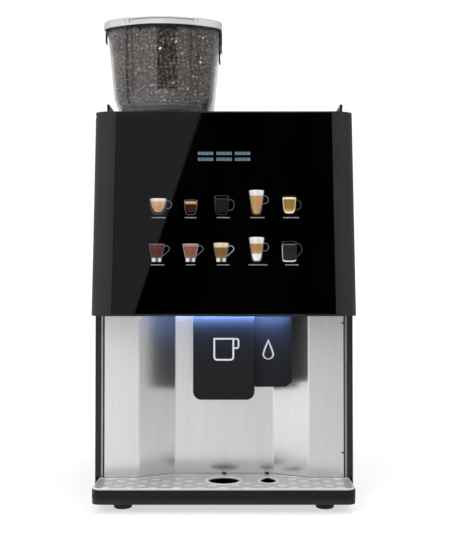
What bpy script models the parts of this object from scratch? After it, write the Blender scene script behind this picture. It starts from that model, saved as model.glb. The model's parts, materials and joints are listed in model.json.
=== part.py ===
"""Table-top hot coffee vending machine, bean to cup, with two instant-product canisters.

Frame: X to the right seen from the front, Y to the rear, Z up, Z = 0 under the feet.
Lengths are millimetres and are turned into metres by MM. Moving pieces hang from empties
on their joints' axes. Cutters and added lumps are helper objects used by live booleans.
"""

import math

import bmesh
import bpy
from mathutils import Matrix, Vector

MM = 0.001

# ---- driving dimensions (mm) ----
GAP = 0.3               # clearance between neighbouring pieces
SHEET = 1.6             # sheet metal thickness
HALF_W = 195.0          # cabinet and door
BASE_HALF_W = 190.0     # base plate and drip tray
Y_TRAY = -270.0         # front of the drip tray
Y_TRAY_REAR = -150.0
Y_LOW = -195.0          # front edge of the lower side panels
Y_HIGH = -188.0         # front edge of the cabinet behind the door
Y_SIDE_REAR = 265.6     # rear edge of the base and side panels
Y_REAR = 268.0
Z_FOOT = 13.2
Z_BASE = 21.5
Z_FLOOR = 21.8          # underside of what stands on the base plate
Z_PANEL = 22.0          # lower edge of the side and rear panels
Z_PANEL_TOP = 584.6
Z_GRILLE = 36.5
Z_SPLASH = 37.2
Z_DECK = 284.0
Z_DOOR = 283.0
Z_DOOR_TOP = 589.5
Z_TOP = 590.0

RECESS_Y = -165.0       # middle of the splash panel
RECESS_IN = 76.0        # half widths at the recess's rear and front
RECESS_OUT = 128.0
CUP_Y = -214.0          # spouts and the round hole in the grille
WATER_X = 66.0
COVER_TOP = 281.8       # top of both spout covers

DOOR_BACK = -190.0
DOOR_FRONT_LOW = -262.0
DOOR_FRONT_HIGH = -210.0
GLASS_HALF = 162.0
HINGE_X, HINGE_Y = -190.0, -195.0
LOCK_Y, LOCK_Z = -204.0, 430.0
LEAN = math.atan2(DOOR_FRONT_HIGH - DOOR_FRONT_LOW, Z_DOOR_TOP - Z_DOOR)

FLAP_X, FLAP_Y, FLAP_Z = 97.0, 136.0, 592.6    # middle of the flap's hinge
HOPPER_X, HOPPER_Y = -93.0, -143.0
BREW_X, BREW_Y = -93.0, -85.0
SPINDLE_X = -52.0
GEAR_MODULE = 1.0
SPINDLE_TEETH, PINION_TEETH = 28, 14
PINION_Y = BREW_Y + GEAR_MODULE * (SPINDLE_TEETH + PINION_TEETH) / 2 + GAP
BOWL_X, BOWL_Y = 95.0, -101.0
MILK_X, CHOCOLATE_X = BOWL_X - 38, BOWL_X + 38
AUGER_Z = 400.0
FAN_X, FAN_Z = 105.0, 505.0
INLET_LEFT, INLET_RIGHT, INLET_LOW, INLET_HIGH = -151.4, -90.6, 47.6, 77.4

# name: (x, y, z) of the axis, and the joint that carries it, if any
JOINT_TABLE = {
    "door": ((HINGE_X, HINGE_Y, 430), None),
    "lock": ((184, LOCK_Y, LOCK_Z), "door"),
    "tray": ((0, -230, 28), None),
    "grille": ((0, -230, 35), "tray"),
    "cup_cover": ((0, -204, 220), None),
    "water_cover": ((73, -204, 220), None),
    "flap": ((FLAP_X, FLAP_Y, FLAP_Z), None),
    "lid": ((HOPPER_X, HOPPER_Y, 716), None),
    "latch": ((-6, HOPPER_Y, 710), "lid"),
    "gate": ((HOPPER_X, -80, 597), None),
    "burr": ((HOPPER_X, HOPPER_Y, 540), None),
    "piston": ((BREW_X, BREW_Y, 355), None),
    "spindle": ((SPINDLE_X, BREW_Y, 350), None),
    "pinion": ((SPINDLE_X, PINION_Y, 416), None),
    "milk_auger": ((MILK_X, 0, AUGER_Z), None),
    "chocolate_auger": ((CHOCOLATE_X, 0, AUGER_Z), None),
    "whipper": ((BOWL_X, BOWL_Y, 310), None),
    "switch": ((-103, 263, 62.5), None),
    "fan": ((FAN_X, 255, FAN_Z), None),
}

# ---- colours (linear RGB) ----
BLACK = (0.030, 0.030, 0.032)
CHARCOAL = (0.045, 0.045, 0.047)
STEEL = (0.55, 0.55, 0.56)
GREY = (0.30, 0.30, 0.31)
GLASS_BLACK = (0.005, 0.005, 0.006)
SWITCH_BLACK = (0.02, 0.02, 0.02)
PUMP_BLACK = (0.1, 0.1, 0.11)
GRINDER_MOTOR_GREY = (0.15, 0.15, 0.16)
MOTOR_GREY = (0.5, 0.5, 0.5)
PISTON_GREY = (0.6, 0.6, 0.62)
CHAMBER_GREY = (0.35, 0.33, 0.30)
MILK_CAN = (0.75, 0.75, 0.72)
CHOCOLATE_CAN = (0.6, 0.58, 0.55)
AUGER_WHITE = (0.7, 0.7, 0.7)
BOWL_WHITE = (0.7, 0.7, 0.68)
HOSE_WHITE = (0.75, 0.75, 0.75)
IMPELLER_WHITE = (0.85, 0.85, 0.85)
HOPPER_CLEAR = (0.8, 0.82, 0.84)
LID_CLEAR = (0.8, 0.81, 0.82)
BEAN_BROWN = (0.06, 0.028, 0.012)
BOARD_GREEN = (0.02, 0.08, 0.04)
LED_BLUE = (0.35, 0.5, 0.9)

# Turn a shape drawn about Z so that it lies along another axis
AXES = {
    "X": Matrix(((0, 0, 1), (1, 0, 0), (0, 1, 0))).to_4x4(),
    "Y": Matrix(((0, 1, 0), (0, 0, 1), (1, 0, 0))).to_4x4(),
    "Z": Matrix.Identity(4),
}

for old in list(bpy.data.objects):
    bpy.data.objects.remove(old, do_unlink=True)

PARTS = bpy.data.collections.new("coffee_machine")
HELPERS = bpy.data.collections.new("cutters")
bpy.context.scene.collection.children.link(PARTS)
bpy.context.scene.collection.children.link(HELPERS)
HELPERS.hide_render = True


# ======================= joints, finishes and booleans =======================
JOINTS = {}


def shift(x, y, z):
    return Matrix.Translation(Vector((x, y, z)) * MM)


def hang(obj, joint):
    """Parents obj to a joint's empty and leaves it where it is."""
    empty, place = JOINTS[joint]
    obj.parent = empty
    obj.matrix_parent_inverse = Matrix.Translation(-place)


def make_joints():
    for name, (place, parent) in JOINT_TABLE.items():
        empty = bpy.data.objects.new("axis_" + name, None)
        empty.empty_display_size = 0.02
        PARTS.objects.link(empty)
        place = Vector(place) * MM
        empty.location = place
        if parent:
            hang(empty, parent)
        JOINTS[name] = (empty, place)


def finish(obj, colour, joint=None, *, roughness, metallic=0.0, alpha=1.0):
    """Gives a piece its own material and, if it moves, its joint."""
    made = bpy.data.materials.new(obj.name + "_finish")
    made.use_nodes = True
    inputs = made.node_tree.nodes["Principled BSDF"].inputs
    inputs["Base Color"].default_value = (*colour, 1.0)
    inputs["Roughness"].default_value = roughness
    inputs["Metallic"].default_value = metallic
    inputs["Alpha"].default_value = alpha
    obj.data.materials.append(made)
    if joint:
        hang(obj, joint)


def boolean(obj, other, operation):
    """Adds a live boolean and moves the other object to the helpers."""
    PARTS.objects.unlink(other)
    HELPERS.objects.link(other)
    other.hide_render = True
    other.display_type = "WIRE"
    modifier = obj.modifiers.new(operation.lower() + "_" + other.name, "BOOLEAN")
    modifier.operation = operation
    modifier.object = other
    modifier.solver = "EXACT"


def cut(obj, *others):
    for other in others:
        boolean(obj, other, "DIFFERENCE")


def join(obj, *others):
    for other in others:
        boolean(obj, other, "UNION")


# ======================= outlines =======================
def rounded(left, right, low, high, radius, steps=4):
    """A rectangle with rounded corners, anticlockwise. radius may be one number a corner:
    lower left, lower right, upper right, upper left."""
    radii = radius if isinstance(radius, tuple) else (radius,) * 4
    # corner u, corner v, directions to the inside, start angle
    corners = (
        (left, low, 1, 1, 180), (right, low, -1, 1, 270),
        (right, high, -1, -1, 0), (left, high, 1, -1, 90),
    )
    points = []
    for (corner_u, corner_v, sign_u, sign_v, start), bend in zip(corners, radii):
        if bend <= 0:
            points.append((corner_u, corner_v))
            continue
        for i in range(steps + 1):
            angle = math.radians(start + 90 * i / steps)
            points.append((
                corner_u + sign_u * bend + bend * math.cos(angle),
                corner_v + sign_v * bend + bend * math.sin(angle),
            ))
    return points


def circle(x, y, radius, steps=24):
    angles = [2 * math.pi * i / steps for i in range(steps)]
    return [(x + radius * math.cos(angle), y + radius * math.sin(angle)) for angle in angles]


def mirrored(side, inner, outer):
    """A span of X on one side of the middle, in rising order."""
    return sorted((side * inner, side * outer))


# ======================= solids =======================
def as_object(name, solid):
    bmesh.ops.recalc_face_normals(solid, faces=solid.faces[:])
    mesh = bpy.data.meshes.new(name)
    solid.to_mesh(mesh)
    solid.free()
    obj = bpy.data.objects.new(name, mesh)
    PARTS.objects.link(obj)
    return obj


def box_mesh(left, right, front, rear, low, high):
    solid = bmesh.new()
    bmesh.ops.create_cube(solid, size=1.0)
    size = Vector((right - left, rear - front, high - low)) * MM
    middle = Vector((left + right, front + rear, low + high)) * MM / 2
    bmesh.ops.scale(solid, vec=size, verts=solid.verts[:])
    bmesh.ops.translate(solid, vec=middle, verts=solid.verts[:])
    return solid


def box(name, left, right, front, rear, low, high):
    return as_object(name, box_mesh(left, right, front, rear, low, high))


def leaned(name, left, right, start, end, inner, outer):
    """A box on the slope of the door's front: start and end are measured up the slope
    from the door's lower edge, inner and outer out of it."""
    solid = box_mesh(left, right, inner, outer, start, end)
    turn = Matrix.Rotation(-LEAN, 4, "X")
    flip = Matrix.Diagonal((1, -1, 1, 1))
    bmesh.ops.transform(
        solid, matrix=shift(0, DOOR_FRONT_LOW, Z_DOOR) @ turn @ flip, verts=solid.verts[:]
    )
    return as_object(name, solid)


def cylinder(name, x, y, z, radius, length, axis="Z", segments=24):
    """A cylinder whose middle is at (x, y, z)."""
    solid = bmesh.new()
    bmesh.ops.create_cone(
        solid, cap_ends=True, segments=segments,
        radius1=radius * MM, radius2=radius * MM, depth=length * MM,
    )
    bmesh.ops.transform(solid, matrix=shift(x, y, z) @ AXES[axis], verts=solid.verts[:])
    return as_object(name, solid)


def plate(name, outer, start, end, axis="Z", holes=()):
    """A flat outline, with holes, from start to end along an axis. Outlines are (x, y) for Z,
    (y, z) for X and (x, z) for Y."""
    curve = bpy.data.curves.new(name, "CURVE")
    curve.dimensions = "2D"
    curve.fill_mode = "BOTH"
    curve.extrude = (end - start) / 2 * MM
    for loop in (outer, *holes):
        points = [(v, u) for u, v in loop] if axis == "Y" else loop
        spline = curve.splines.new("POLY")
        spline.points.add(len(points) - 1)
        for point, (u, v) in zip(spline.points, points):
            point.co = (u * MM, v * MM, 0, 1)
        spline.use_cyclic_u = True
    guide = bpy.data.objects.new(name + "_outline", curve)
    HELPERS.objects.link(guide)
    bpy.context.view_layer.update()
    mesh = bpy.data.meshes.new_from_object(
        guide.evaluated_get(bpy.context.evaluated_depsgraph_get())
    )
    solid = bmesh.new()
    solid.from_mesh(mesh)
    bmesh.ops.remove_doubles(solid, verts=solid.verts[:], dist=1e-6)
    along = {"X": (1, 0, 0), "Y": (0, 1, 0), "Z": (0, 0, 1)}[axis]
    middle = Matrix.Translation(Vector(along) * (start + end) / 2 * MM)
    bmesh.ops.transform(solid, matrix=middle @ AXES[axis], verts=solid.verts[:])
    bpy.data.objects.remove(guide, do_unlink=True)
    bpy.data.meshes.remove(mesh)
    return as_object(name, solid)


def turned(name, profile, x, y, steps=24, ring=False):
    """A profile of (radius, z) turned about an upright axis. A ring's profile closes on itself."""
    mesh = bpy.data.meshes.new(name)
    count = len(profile)
    edges = [(i, i + 1) for i in range(count - 1)]
    if ring:
        edges.append((count - 1, 0))
    mesh.from_pydata([(radius * MM, 0, z * MM) for radius, z in profile], edges, [])
    obj = bpy.data.objects.new(name, mesh)
    PARTS.objects.link(obj)
    screw = obj.modifiers.new("turn", "SCREW")
    screw.steps = steps
    screw.render_steps = steps
    screw.use_merge_vertices = True
    screw.merge_threshold = 1e-5
    obj.matrix_world = shift(x, y, 0)
    return obj


def loft(name, rings, closed=False):
    """A skin over rings of equally many points. Open lofts get end caps; a closed one
    joins its last ring to its first."""
    solid = bmesh.new()
    loops = [[solid.verts.new(Vector(point) * MM) for point in ring] for ring in rings]
    count = len(loops[0])
    following = loops[1:] + (loops[:1] if closed else [])
    for here, there in zip(loops, following):
        for i in range(count):
            j = (i + 1) % count
            solid.faces.new((here[i], here[j], there[j], there[i]))
    if not closed:
        solid.faces.new(loops[0][::-1])
        solid.faces.new(loops[-1])
    return as_object(name, solid)


def gear(name, x, y, low, high, teeth):
    """A spur gear with straight-flanked teeth."""
    # fraction of a pitch from the tooth's middle, modules out from the pitch circle
    tooth = ((-0.30, -1.15), (-0.17, 0.85), (0.17, 0.85), (0.30, -1.15))
    points = []
    for i in range(teeth):
        for part, rise in tooth:
            angle = 2 * math.pi * (i + part) / teeth
            radius = GEAR_MODULE * (teeth / 2 + rise)
            points.append((x + radius * math.cos(angle), y + radius * math.sin(angle)))
    return plate(name, points, low, high)


# ======================= base, feet and cabinet =======================
def base_plate():
    front = -266
    base = plate(
        "base_plate",
        rounded(-BASE_HALF_W, BASE_HALF_W, front, Y_SIDE_REAR, (12, 12, 3, 3)),
        Z_FOOT + GAP, Z_BASE,
    )
    half = BASE_HALF_W - SHEET
    corner = 12 - SHEET
    hollow = rounded(-half, half, front + SHEET, Y_SIDE_REAR - SHEET, (corner, corner, 2, 2))
    cut(base, plate("base_hollow", hollow, 8, Z_BASE - SHEET))
    finish(base, BLACK, roughness=0.5, metallic=0.6)


def feet():
    # the pad carries the machine; its neck reaches up to the sheet above
    neck_top = Z_BASE - SHEET - GAP
    profile = [
        (0, neck_top), (6, neck_top), (6, 11), (12, 10), (13.5, 8), (13.5, 1), (12.5, 0), (0, 0),
    ]
    for row, y in (("front", -225), ("rear", 215)):
        for side, x in (("left", -149), ("right", 149)):
            foot = turned(f"{row}_{side}_foot", profile, x, y, steps=20)
            finish(foot, BLACK, roughness=0.8)


def side_panels():
    step = 281    # where the front edge steps back behind the door
    outline = [
        (Y_LOW, Z_PANEL), (Y_SIDE_REAR, Z_PANEL), (Y_SIDE_REAR, Z_PANEL_TOP),
        (Y_HIGH, Z_PANEL_TOP), (Y_HIGH, step), (Y_LOW, step),
    ]
    for side, name in ((-1, "left_side_panel"), (1, "right_side_panel")):
        panel = plate(name, outline, *mirrored(side, HALF_W - SHEET, HALF_W), axis="X")
        flange = mirrored(side, HALF_W - 10, HALF_W - 0.4)
        join(
            panel,
            box(name + "_low_return", *flange, Y_LOW, Y_LOW + SHEET, 38, 280.4),
            box(name + "_high_return", *flange, Y_HIGH, Y_HIGH + SHEET, 285.5, 581),
        )
        if side > 0:
            join(panel, box("lock_strike", 172, HALF_W - 0.4, -174, -170, 420, 426))
        finish(panel, BLACK, roughness=0.35, metallic=0.3)


def vents(left, right, bottom, count):
    """Slots with rounded ends, one above another."""
    pitch, height = 16, 6
    bottoms = [bottom + pitch * i for i in range(count)]
    return [rounded(left, right, low, low + height, 2.9, 2) for low in bottoms]


def rear_panel():
    slack = 0.6    # around the power inlet
    inlet_hole = rounded(
        INLET_LEFT - slack, INLET_RIGHT + slack, INLET_LOW - slack, INLET_HIGH + slack, 1.5, 2
    )
    panel = plate(
        "rear_panel", rounded(-HALF_W, HALF_W, Z_PANEL, Z_PANEL_TOP, 2), 266, 267.8, axis="Y",
        holes=[
            circle(FAN_X, FAN_Z, 42), inlet_hole,
            *vents(-150, -60, 300, 6), *vents(60, 150, 60, 4),
        ],
    )
    finish(panel, GREY, roughness=0.45, metallic=0.9)


def top_cover():
    cover = plate(
        "top_cover", rounded(-HALF_W, HALF_W, Y_HIGH, Y_REAR, 4), Z_TOP - 5, Z_TOP,
        holes=[circle(HOPPER_X, HOPPER_Y, 39), rounded(16, 178, -108, 128, 6)],
    )
    rim = 1.8
    hollow = rounded(-HALF_W + rim, HALF_W - rim, Y_HIGH + rim, Y_REAR - rim, 2.5)
    cut(cover, plate("top_hollow", hollow, Z_TOP - 9, Z_TOP - SHEET))
    finish(cover, BLACK, roughness=0.4, metallic=0.4)


def service_flap():
    flap = plate("service_flap", rounded(10, 184, -114, 134, 8), Z_TOP + GAP, Z_TOP + 2.6)
    join(
        flap,
        cylinder("flap_knuckle", FLAP_X, FLAP_Y, FLAP_Z, 2.2, 150, "X", 12),
        box("flap_leaf", 30, 164, 132, FLAP_Y, 591.0, 593.0),
    )
    finish(flap, BLACK, "flap", roughness=0.35, metallic=0.3)


def top_rails():
    # (y, z) around a rail with a splayed leg at each end
    outline = [
        (-83, 626), (-70, 590.3), (-64, 590.3), (-75.5, 621),
        (190.5, 621), (193, 590.3), (199, 590.3), (196, 626),
    ]
    for side, name in ((-1, "left_top_rail"), (1, "right_top_rail")):
        rail = plate(name, outline, *mirrored(side, 190.5, 194.5), axis="X")
        finish(rail, BLACK, roughness=0.4, metallic=0.3)


# ======================= front recess =======================
def splash_panel():
    half_w, thickness = 184.6, 1.4
    edge = [
        (-half_w, Y_LOW), (-RECESS_OUT, Y_LOW), (-RECESS_IN, RECESS_Y),
        (RECESS_IN, RECESS_Y), (RECESS_OUT, Y_LOW), (half_w, Y_LOW),
    ]
    outline = edge + [(x, y + thickness) for x, y in reversed(edge)]
    splash = plate("splash_panel", outline, Z_SPLASH, 280.5)
    cut(splash, box("hose_window", -32, 86, -172, -158, 204, 268))
    finish(splash, STEEL, roughness=0.35, metallic=1.0)


def chassis_deck():
    deck = plate(
        "chassis_deck", rounded(-192.8, 192.8, -150, 265, 2), Z_DECK, Z_DECK + 2,
        holes=[
            rounded(-125, -61, -145, -121, 3),
            circle(BOWL_X, BOWL_Y, 8, 16),
            circle(-150, 230, 14, 16),
        ],
    )
    finish(deck, GREY, roughness=0.5, metallic=0.9)


def waste_bin():
    left, right, front, rear, bottom, wall = -150, -40, -150, 0, 22, 2.2
    waste = plate("waste_bin", rounded(left, right, front, rear, 8), bottom, 272)
    hollow = rounded(left + wall, right - wall, front + wall, rear - wall, 6)
    cut(waste, plate("bin_hollow", hollow, bottom + wall, 290))
    finish(waste, BLACK, roughness=0.6)


def spouts():
    """Both spouts, each on an arm through the window in the splash panel."""
    coffee = box("coffee_spout", -18, 18, -226, -202, 188, 214)
    join(
        coffee,
        box("coffee_arm", -14, 14, -203, -160.5, 206, 213),
        cylinder("coffee_tip_left", -9, CUP_Y, 178, 4, 24, segments=16),
        cylinder("coffee_tip_right", 9, CUP_Y, 178, 4, 24, segments=16),
    )
    finish(coffee, BLACK, roughness=0.4)
    water = box("hot_water_spout", WATER_X - 9, WATER_X + 9, -221, -203, 196, 213.5)
    join(
        water,
        box("water_arm", WATER_X - 4, WATER_X + 4, -204, -160.5, 206, 213),
        cylinder("water_tip", WATER_X, CUP_Y, 190, 4, 18, segments=16),
    )
    finish(water, STEEL, roughness=0.25, metallic=1.0)


def cup_spout_cover():
    half_w, bottom, front, bend, wall = 45, 160, -240, 12, 2.5
    outer = rounded(-half_w, half_w, bottom, COVER_TOP, (bend, bend, 1, 1), 6)
    cover = plate("cup_spout_cover", outer, front, -168, axis="Y")
    half_in, bend_in = half_w - wall, bend - wall
    inner = rounded(
        -half_in, half_in, bottom + wall, COVER_TOP - wall, (bend_in, bend_in, 1, 1), 6
    )
    cut(
        cover,
        plate("cup_cover_hollow", inner, front + wall, -150, axis="Y"),
        box("cup_cover_opening", -32, 32, -235, -172, 150, 170),
    )
    finish(cover, BLACK, "cup_cover", roughness=0.35)


def water_spout_cover():
    # (x, z), with the lower right corner cut off
    top_in = COVER_TOP - 2.5
    outer = [(45.6, COVER_TOP), (45.6, 177), (92, 177), (101, 184), (101, COVER_TOP)]
    inner = [(47.8, top_in), (47.8, 179.5), (91.2, 179.5), (98.6, 185.2), (98.6, top_in)]
    cover = plate("water_spout_cover", outer, -225, -182, axis="Y")
    cut(
        cover,
        plate("water_cover_hollow", inner, -222.6, -160, axis="Y"),
        box("water_cover_opening", 52, 86, -220, -186, 170, 182),
    )
    finish(cover, BLACK, "water_cover", roughness=0.35)


def drip_tray():
    wall, bend = 3, 14
    outer = rounded(-BASE_HALF_W, BASE_HALF_W, Y_TRAY, Y_TRAY_REAR, (bend, bend, 3, 3))
    tray = plate("drip_tray", outer, Z_BASE + GAP, 34.4)
    half, bend_in = BASE_HALF_W - wall, bend - wall
    inner = rounded(-half, half, Y_TRAY + wall, Y_TRAY_REAR - wall, (bend_in, bend_in, 2, 2))
    cut(tray, plate("tray_hollow", inner, Z_BASE + 2.5, 50))
    finish(tray, BLACK, "tray", roughness=0.4)


def water_hole():
    """A drop-shaped hole under the water spout, narrowing to the rear."""
    steps = 16
    points = []
    for i in range(steps):
        angle = 2 * math.pi * i / steps
        rearward = math.cos(angle)
        narrowing = 1 - 0.55 * max(0.0, rearward)
        length = 1 if rearward > 0 else 0.85
        points.append((
            WATER_X + 12 * math.sin(angle) * narrowing,
            -212 + 22 * rearward * length,
        ))
    return points


def drip_grille():
    half_w, clear_x, clear_y = 189, 0.6, 1.6
    rear, rear_in = Y_LOW - clear_y, RECESS_Y - clear_y
    wide, narrow = RECESS_OUT - clear_x, RECESS_IN - clear_x
    *front_and_right, rear_left = rounded(-half_w, half_w, Y_TRAY + 1, rear, (13, 13, 0, 0))
    outline = [
        *front_and_right,
        (wide, rear), (narrow, rear_in), (-narrow, rear_in), (-wide, rear),
        rear_left,
    ]
    grille = plate(
        "drip_grille", outline, 34.7, Z_GRILLE, holes=[circle(0, CUP_Y, 23, 32), water_hole()]
    )
    finish(grille, STEEL, "grille", roughness=0.3, metallic=1.0)


# ======================= door =======================
def upright_edges(solid, at_front):
    """The two edges up the sloping front, or the left one at the back."""
    found = []
    for edge in solid.edges:
        one, two = (vert.co / MM for vert in edge.verts)
        if abs(one.x - two.x) > 0.01 or abs(one.z - two.z) < 50:
            continue
        sloping = abs(one.y - two.y) > 1
        if sloping == at_front and (at_front or one.x < 0):
            found.append(edge)
    return found


def round_edges(solid, edges, radius, segments):
    bmesh.ops.bevel(
        solid, geom=edges, offset=radius * MM, segments=segments, profile=0.5,
        affect="EDGES", offset_type="OFFSET",
    )


def wedge(name, half_w, back, inset, low, high, front_radius, back_left_radius=0.0):
    """The door's leaning body: inset is the distance in from the sloping front."""
    solid = box_mesh(-half_w, half_w, back, back - 10, low, high)
    for vert in solid.verts:
        if vert.co.y / MM < back - 5:
            slope = (vert.co.z / MM - Z_DOOR) / (Z_DOOR_TOP - Z_DOOR)
            front = DOOR_FRONT_LOW + slope * (DOOR_FRONT_HIGH - DOOR_FRONT_LOW)
            vert.co.y = (front + inset / math.cos(LEAN)) * MM
    if back_left_radius:
        round_edges(solid, upright_edges(solid, False), back_left_radius, 4)
    round_edges(solid, upright_edges(solid, True), front_radius, 6)
    return as_object(name, solid)


def door_frame():
    door = wedge(
        "door_frame", HALF_W, DOOR_BACK, 0, Z_DOOR, Z_DOOR_TOP, 30, back_left_radius=5
    )
    seat = GLASS_HALF + GAP
    cut(
        door,
        wedge("door_hollow", HALF_W - 3, DOOR_BACK + 12, 7.5, Z_DOOR + 3.5, Z_DOOR_TOP - 3, 27),
        leaned("glass_seat", -seat, seat, 2.7, 309, -4.5, 12),
        leaned("window", -148, 148, 14, 296, -24, 12),
        box("led_slot", -121, 121, -252, -242, 276, 292),
        cylinder("lower_hinge_hole", HINGE_X, HINGE_Y, 285, 2.8, 16, segments=16),
        cylinder("upper_hinge_hole", HINGE_X, HINGE_Y, 588, 2.8, 16, segments=16),
        box("hinge_slot", -202, -175, -200.5, -183, 581.8, 585.0),
        cylinder("lock_hole", 193, LOCK_Y, LOCK_Z, 9.8, 16, "X", 20),
    )
    finish(door, CHARCOAL, "door", roughness=0.45, metallic=0.1)


def door_fittings():
    glass = leaned("glass_panel", -GLASS_HALF, GLASS_HALF, 3, 308.7, -4.2, -0.2)
    finish(glass, GLASS_BLACK, "door", roughness=0.08)
    board = leaned("control_board", -140, 140, 40, 250, -13.5, -11.7)
    join(
        board,
        leaned("display_window", -48, 54, 225, 256, -12.2, -5.2),
        leaned("icon_sensors", -112, 112, 70, 170, -12.2, -9),
    )
    finish(board, BOARD_GREEN, "door", roughness=0.6)
    led = box("led_strip", -120.6, 120.6, -251.6, -242.4, 283.4, 289.0)
    finish(led, LED_BLUE, "door", roughness=0.3)
    inner = plate(
        "door_inner_panel", rounded(-176, 160, 289, 583, 4), -192.2, DOOR_BACK - 0.6, axis="Y"
    )
    finish(inner, GREY, "door", roughness=0.5, metallic=0.8)


def hinge_brackets():
    outline = rounded(-193, -178, -199.5, -152, (4, 4, 0, 0))
    # name, bottom and top of the leaf, bottom and top of the pin
    for name, low, high, pin_low, pin_high in (
        ("lower_hinge_bracket", 281.0, 282.6, 282, 286.6),
        ("upper_hinge_bracket", 582.5, 584.3, 583.5, 589.2),
    ):
        bracket = plate(name, outline, low, high)
        middle, length = (pin_low + pin_high) / 2, pin_high - pin_low
        join(bracket, cylinder(name + "_pin", HINGE_X, HINGE_Y, middle, 2.5, length, segments=16))
        finish(bracket, STEEL, roughness=0.35, metallic=1.0)


def lock_cam():
    """A plug in the door's side and a hooked cam, up when it is free."""
    # (y, z) around the cam
    hook = [
        (-207, 424), (-201, 424), (-201, 458), (-201, 466.5),
        (-191, 466.5), (-191, 470), (-207, 470),
    ]
    lock = plate("lock_cam", hook, 172.5, 176, axis="X")
    join(lock, cylinder("lock_plug", 185.2, LOCK_Y, LOCK_Z, 9.4, 19.2, "X", 20))
    cut(lock, box("key_slot", 191, 200, LOCK_Y - 4, LOCK_Y + 4, LOCK_Z - 0.8, LOCK_Z + 0.8))
    finish(lock, STEEL, "lock", roughness=0.25, metallic=1.0)


# ======================= bean hopper =======================
WALL = 3.4
LID_HALF_X, LID_HALF_Y = 90.25, 92.0
THROAT_RADIUS = 29

# half x, half y, corner radius, z, bow of the front
HOPPER_SIDES = (    # up the outside, over the rim and down the inside
    (68, 68, 16, 590.4, 18),
    (72, 71, 16, 603, 20),
    (75.5, 74, 16, 614, 22),
    (84.5, 84, 16, 712, 27),
    (84.8, 84.3, 16, 720.4, 27),
    (84.8 - WALL, 84.3 - WALL, 16 - WALL, 720.4, 25.8),
    (75.5 - WALL, 74 - WALL, 16 - WALL, 614.5, 20.8),
    (60, 60, 16 - WALL, 607.4, 15),
)
HOPPER_SKIRT = (    # under the floor and down the inside of the skirt
    (59.5, 59.5, 16 - WALL, 604.2, 15),
    (68 - WALL, 68 - WALL, 16 - WALL, 597, 17),
    (68 - WALL, 68 - WALL, 16 - WALL, 590.4, 17),
)
BEAN_HEAP = (
    (56, 55, 10, 608.4, 15),
    (70.2, 68.6, 11, 616.5, 20.5),
    (78.0, 77.2, 11, 702, 25),
    (60, 60, 11, 709, 15),
)
LID_SHELL = (       # from the underside of the top, down, out and up to the crown
    (LID_HALF_X - 2.6, LID_HALF_Y - 2.6, 10.4, 722.0, 29),
    (LID_HALF_X - 2.6, LID_HALF_Y - 2.6, 10.4, 712.6, 29),
    (LID_HALF_X, LID_HALF_Y, 13, 712.6, 30),
    (LID_HALF_X, LID_HALF_Y, 13, 722.6, 30),
    (LID_HALF_X - 3, LID_HALF_Y - 3, 11, 725.4, 29),
    (40, 40, 12, 727.0, 10),
)


def bowed_ring(half_x, half_y, radius, z, bow):
    """A rounded square about the hopper's axis whose front side is bowed forward: its front
    corners sit bow behind its middle."""
    steps, spans = 4, 7    # in a corner, along the front
    flat = rounded(
        HOPPER_X - half_x, HOPPER_X + half_x, HOPPER_Y - half_y, HOPPER_Y + half_y, radius, steps
    )
    left, right = flat[steps], flat[steps + 1]
    front = [(left[0] + (right[0] - left[0]) * i / spans, left[1]) for i in range(1, spans)]
    ring = flat[: steps + 1] + front + flat[steps + 1 :]
    return [
        (x, y + bow * ((x - HOPPER_X) / half_x) ** 2 * max(0.0, (HOPPER_Y - y) / half_y), z)
        for x, y in ring
    ]


def bowed_rings(table):
    return [bowed_ring(*row) for row in table]


def start_at_right(ring):
    """Turns a ring's order so that bridged rings start in the same direction, just past +X."""
    def turn_from_right(i):
        x, y, _ = ring[i]
        return (math.atan2(y - HOPPER_Y, x - HOPPER_X) - 0.01) % (2 * math.pi)

    first = min(range(len(ring)), key=turn_from_right)
    return ring[first:] + ring[:first]


def hopper_collar():
    outline = rounded(HOPPER_X - 56, HOPPER_X + 56, HOPPER_Y - 45, HOPPER_Y + 56, 18)
    collar = plate(
        "hopper_collar", outline, Z_TOP + GAP, 603.8, holes=[circle(HOPPER_X, HOPPER_Y, 30)]
    )
    throat = [(35, 593), (35, 583.6), (31, 583.6), (31, 593)]
    join(collar, turned("throat", throat, HOPPER_X, HOPPER_Y, ring=True))
    cut(collar, box(
        "gate_slot", HOPPER_X - 33, HOPPER_X + 33, HOPPER_Y - 32, HOPPER_Y + 90, 595.4, 599.0
    ))
    finish(collar, BLACK, roughness=0.5)


def hopper_gate():
    gate = plate("hopper_gate", rounded(HOPPER_X - 32, HOPPER_X + 32, -111, -14, 3), 595.8, 598.4)
    join(gate, box("gate_pull", HOPPER_X - 16, HOPPER_X + 16, -20, -14, 592.0, 602.5))
    finish(gate, STEEL, "gate", roughness=0.35, metallic=1.0)


def hopper_body():
    sides = bowed_rings(HOPPER_SIDES)
    hole = circle(HOPPER_X, HOPPER_Y, THROAT_RADIUS, len(sides[0]))
    throat = [[(x, y, z) for x, y in hole] for z in (606.6, 604.2)]
    rings = sides + throat + bowed_rings(HOPPER_SKIRT)
    hopper = loft("hopper_body", [start_at_right(ring) for ring in rings], closed=True)
    cut(hopper, box("gate_notch", HOPPER_X - 34, HOPPER_X + 34, -86, -66, 586, 603.4))
    finish(hopper, HOPPER_CLEAR, roughness=0.08, alpha=0.35)


def coffee_beans():
    beans = loft("coffee_beans", bowed_rings(BEAN_HEAP))
    finish(beans, BEAN_BROWN, roughness=0.45)


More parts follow.
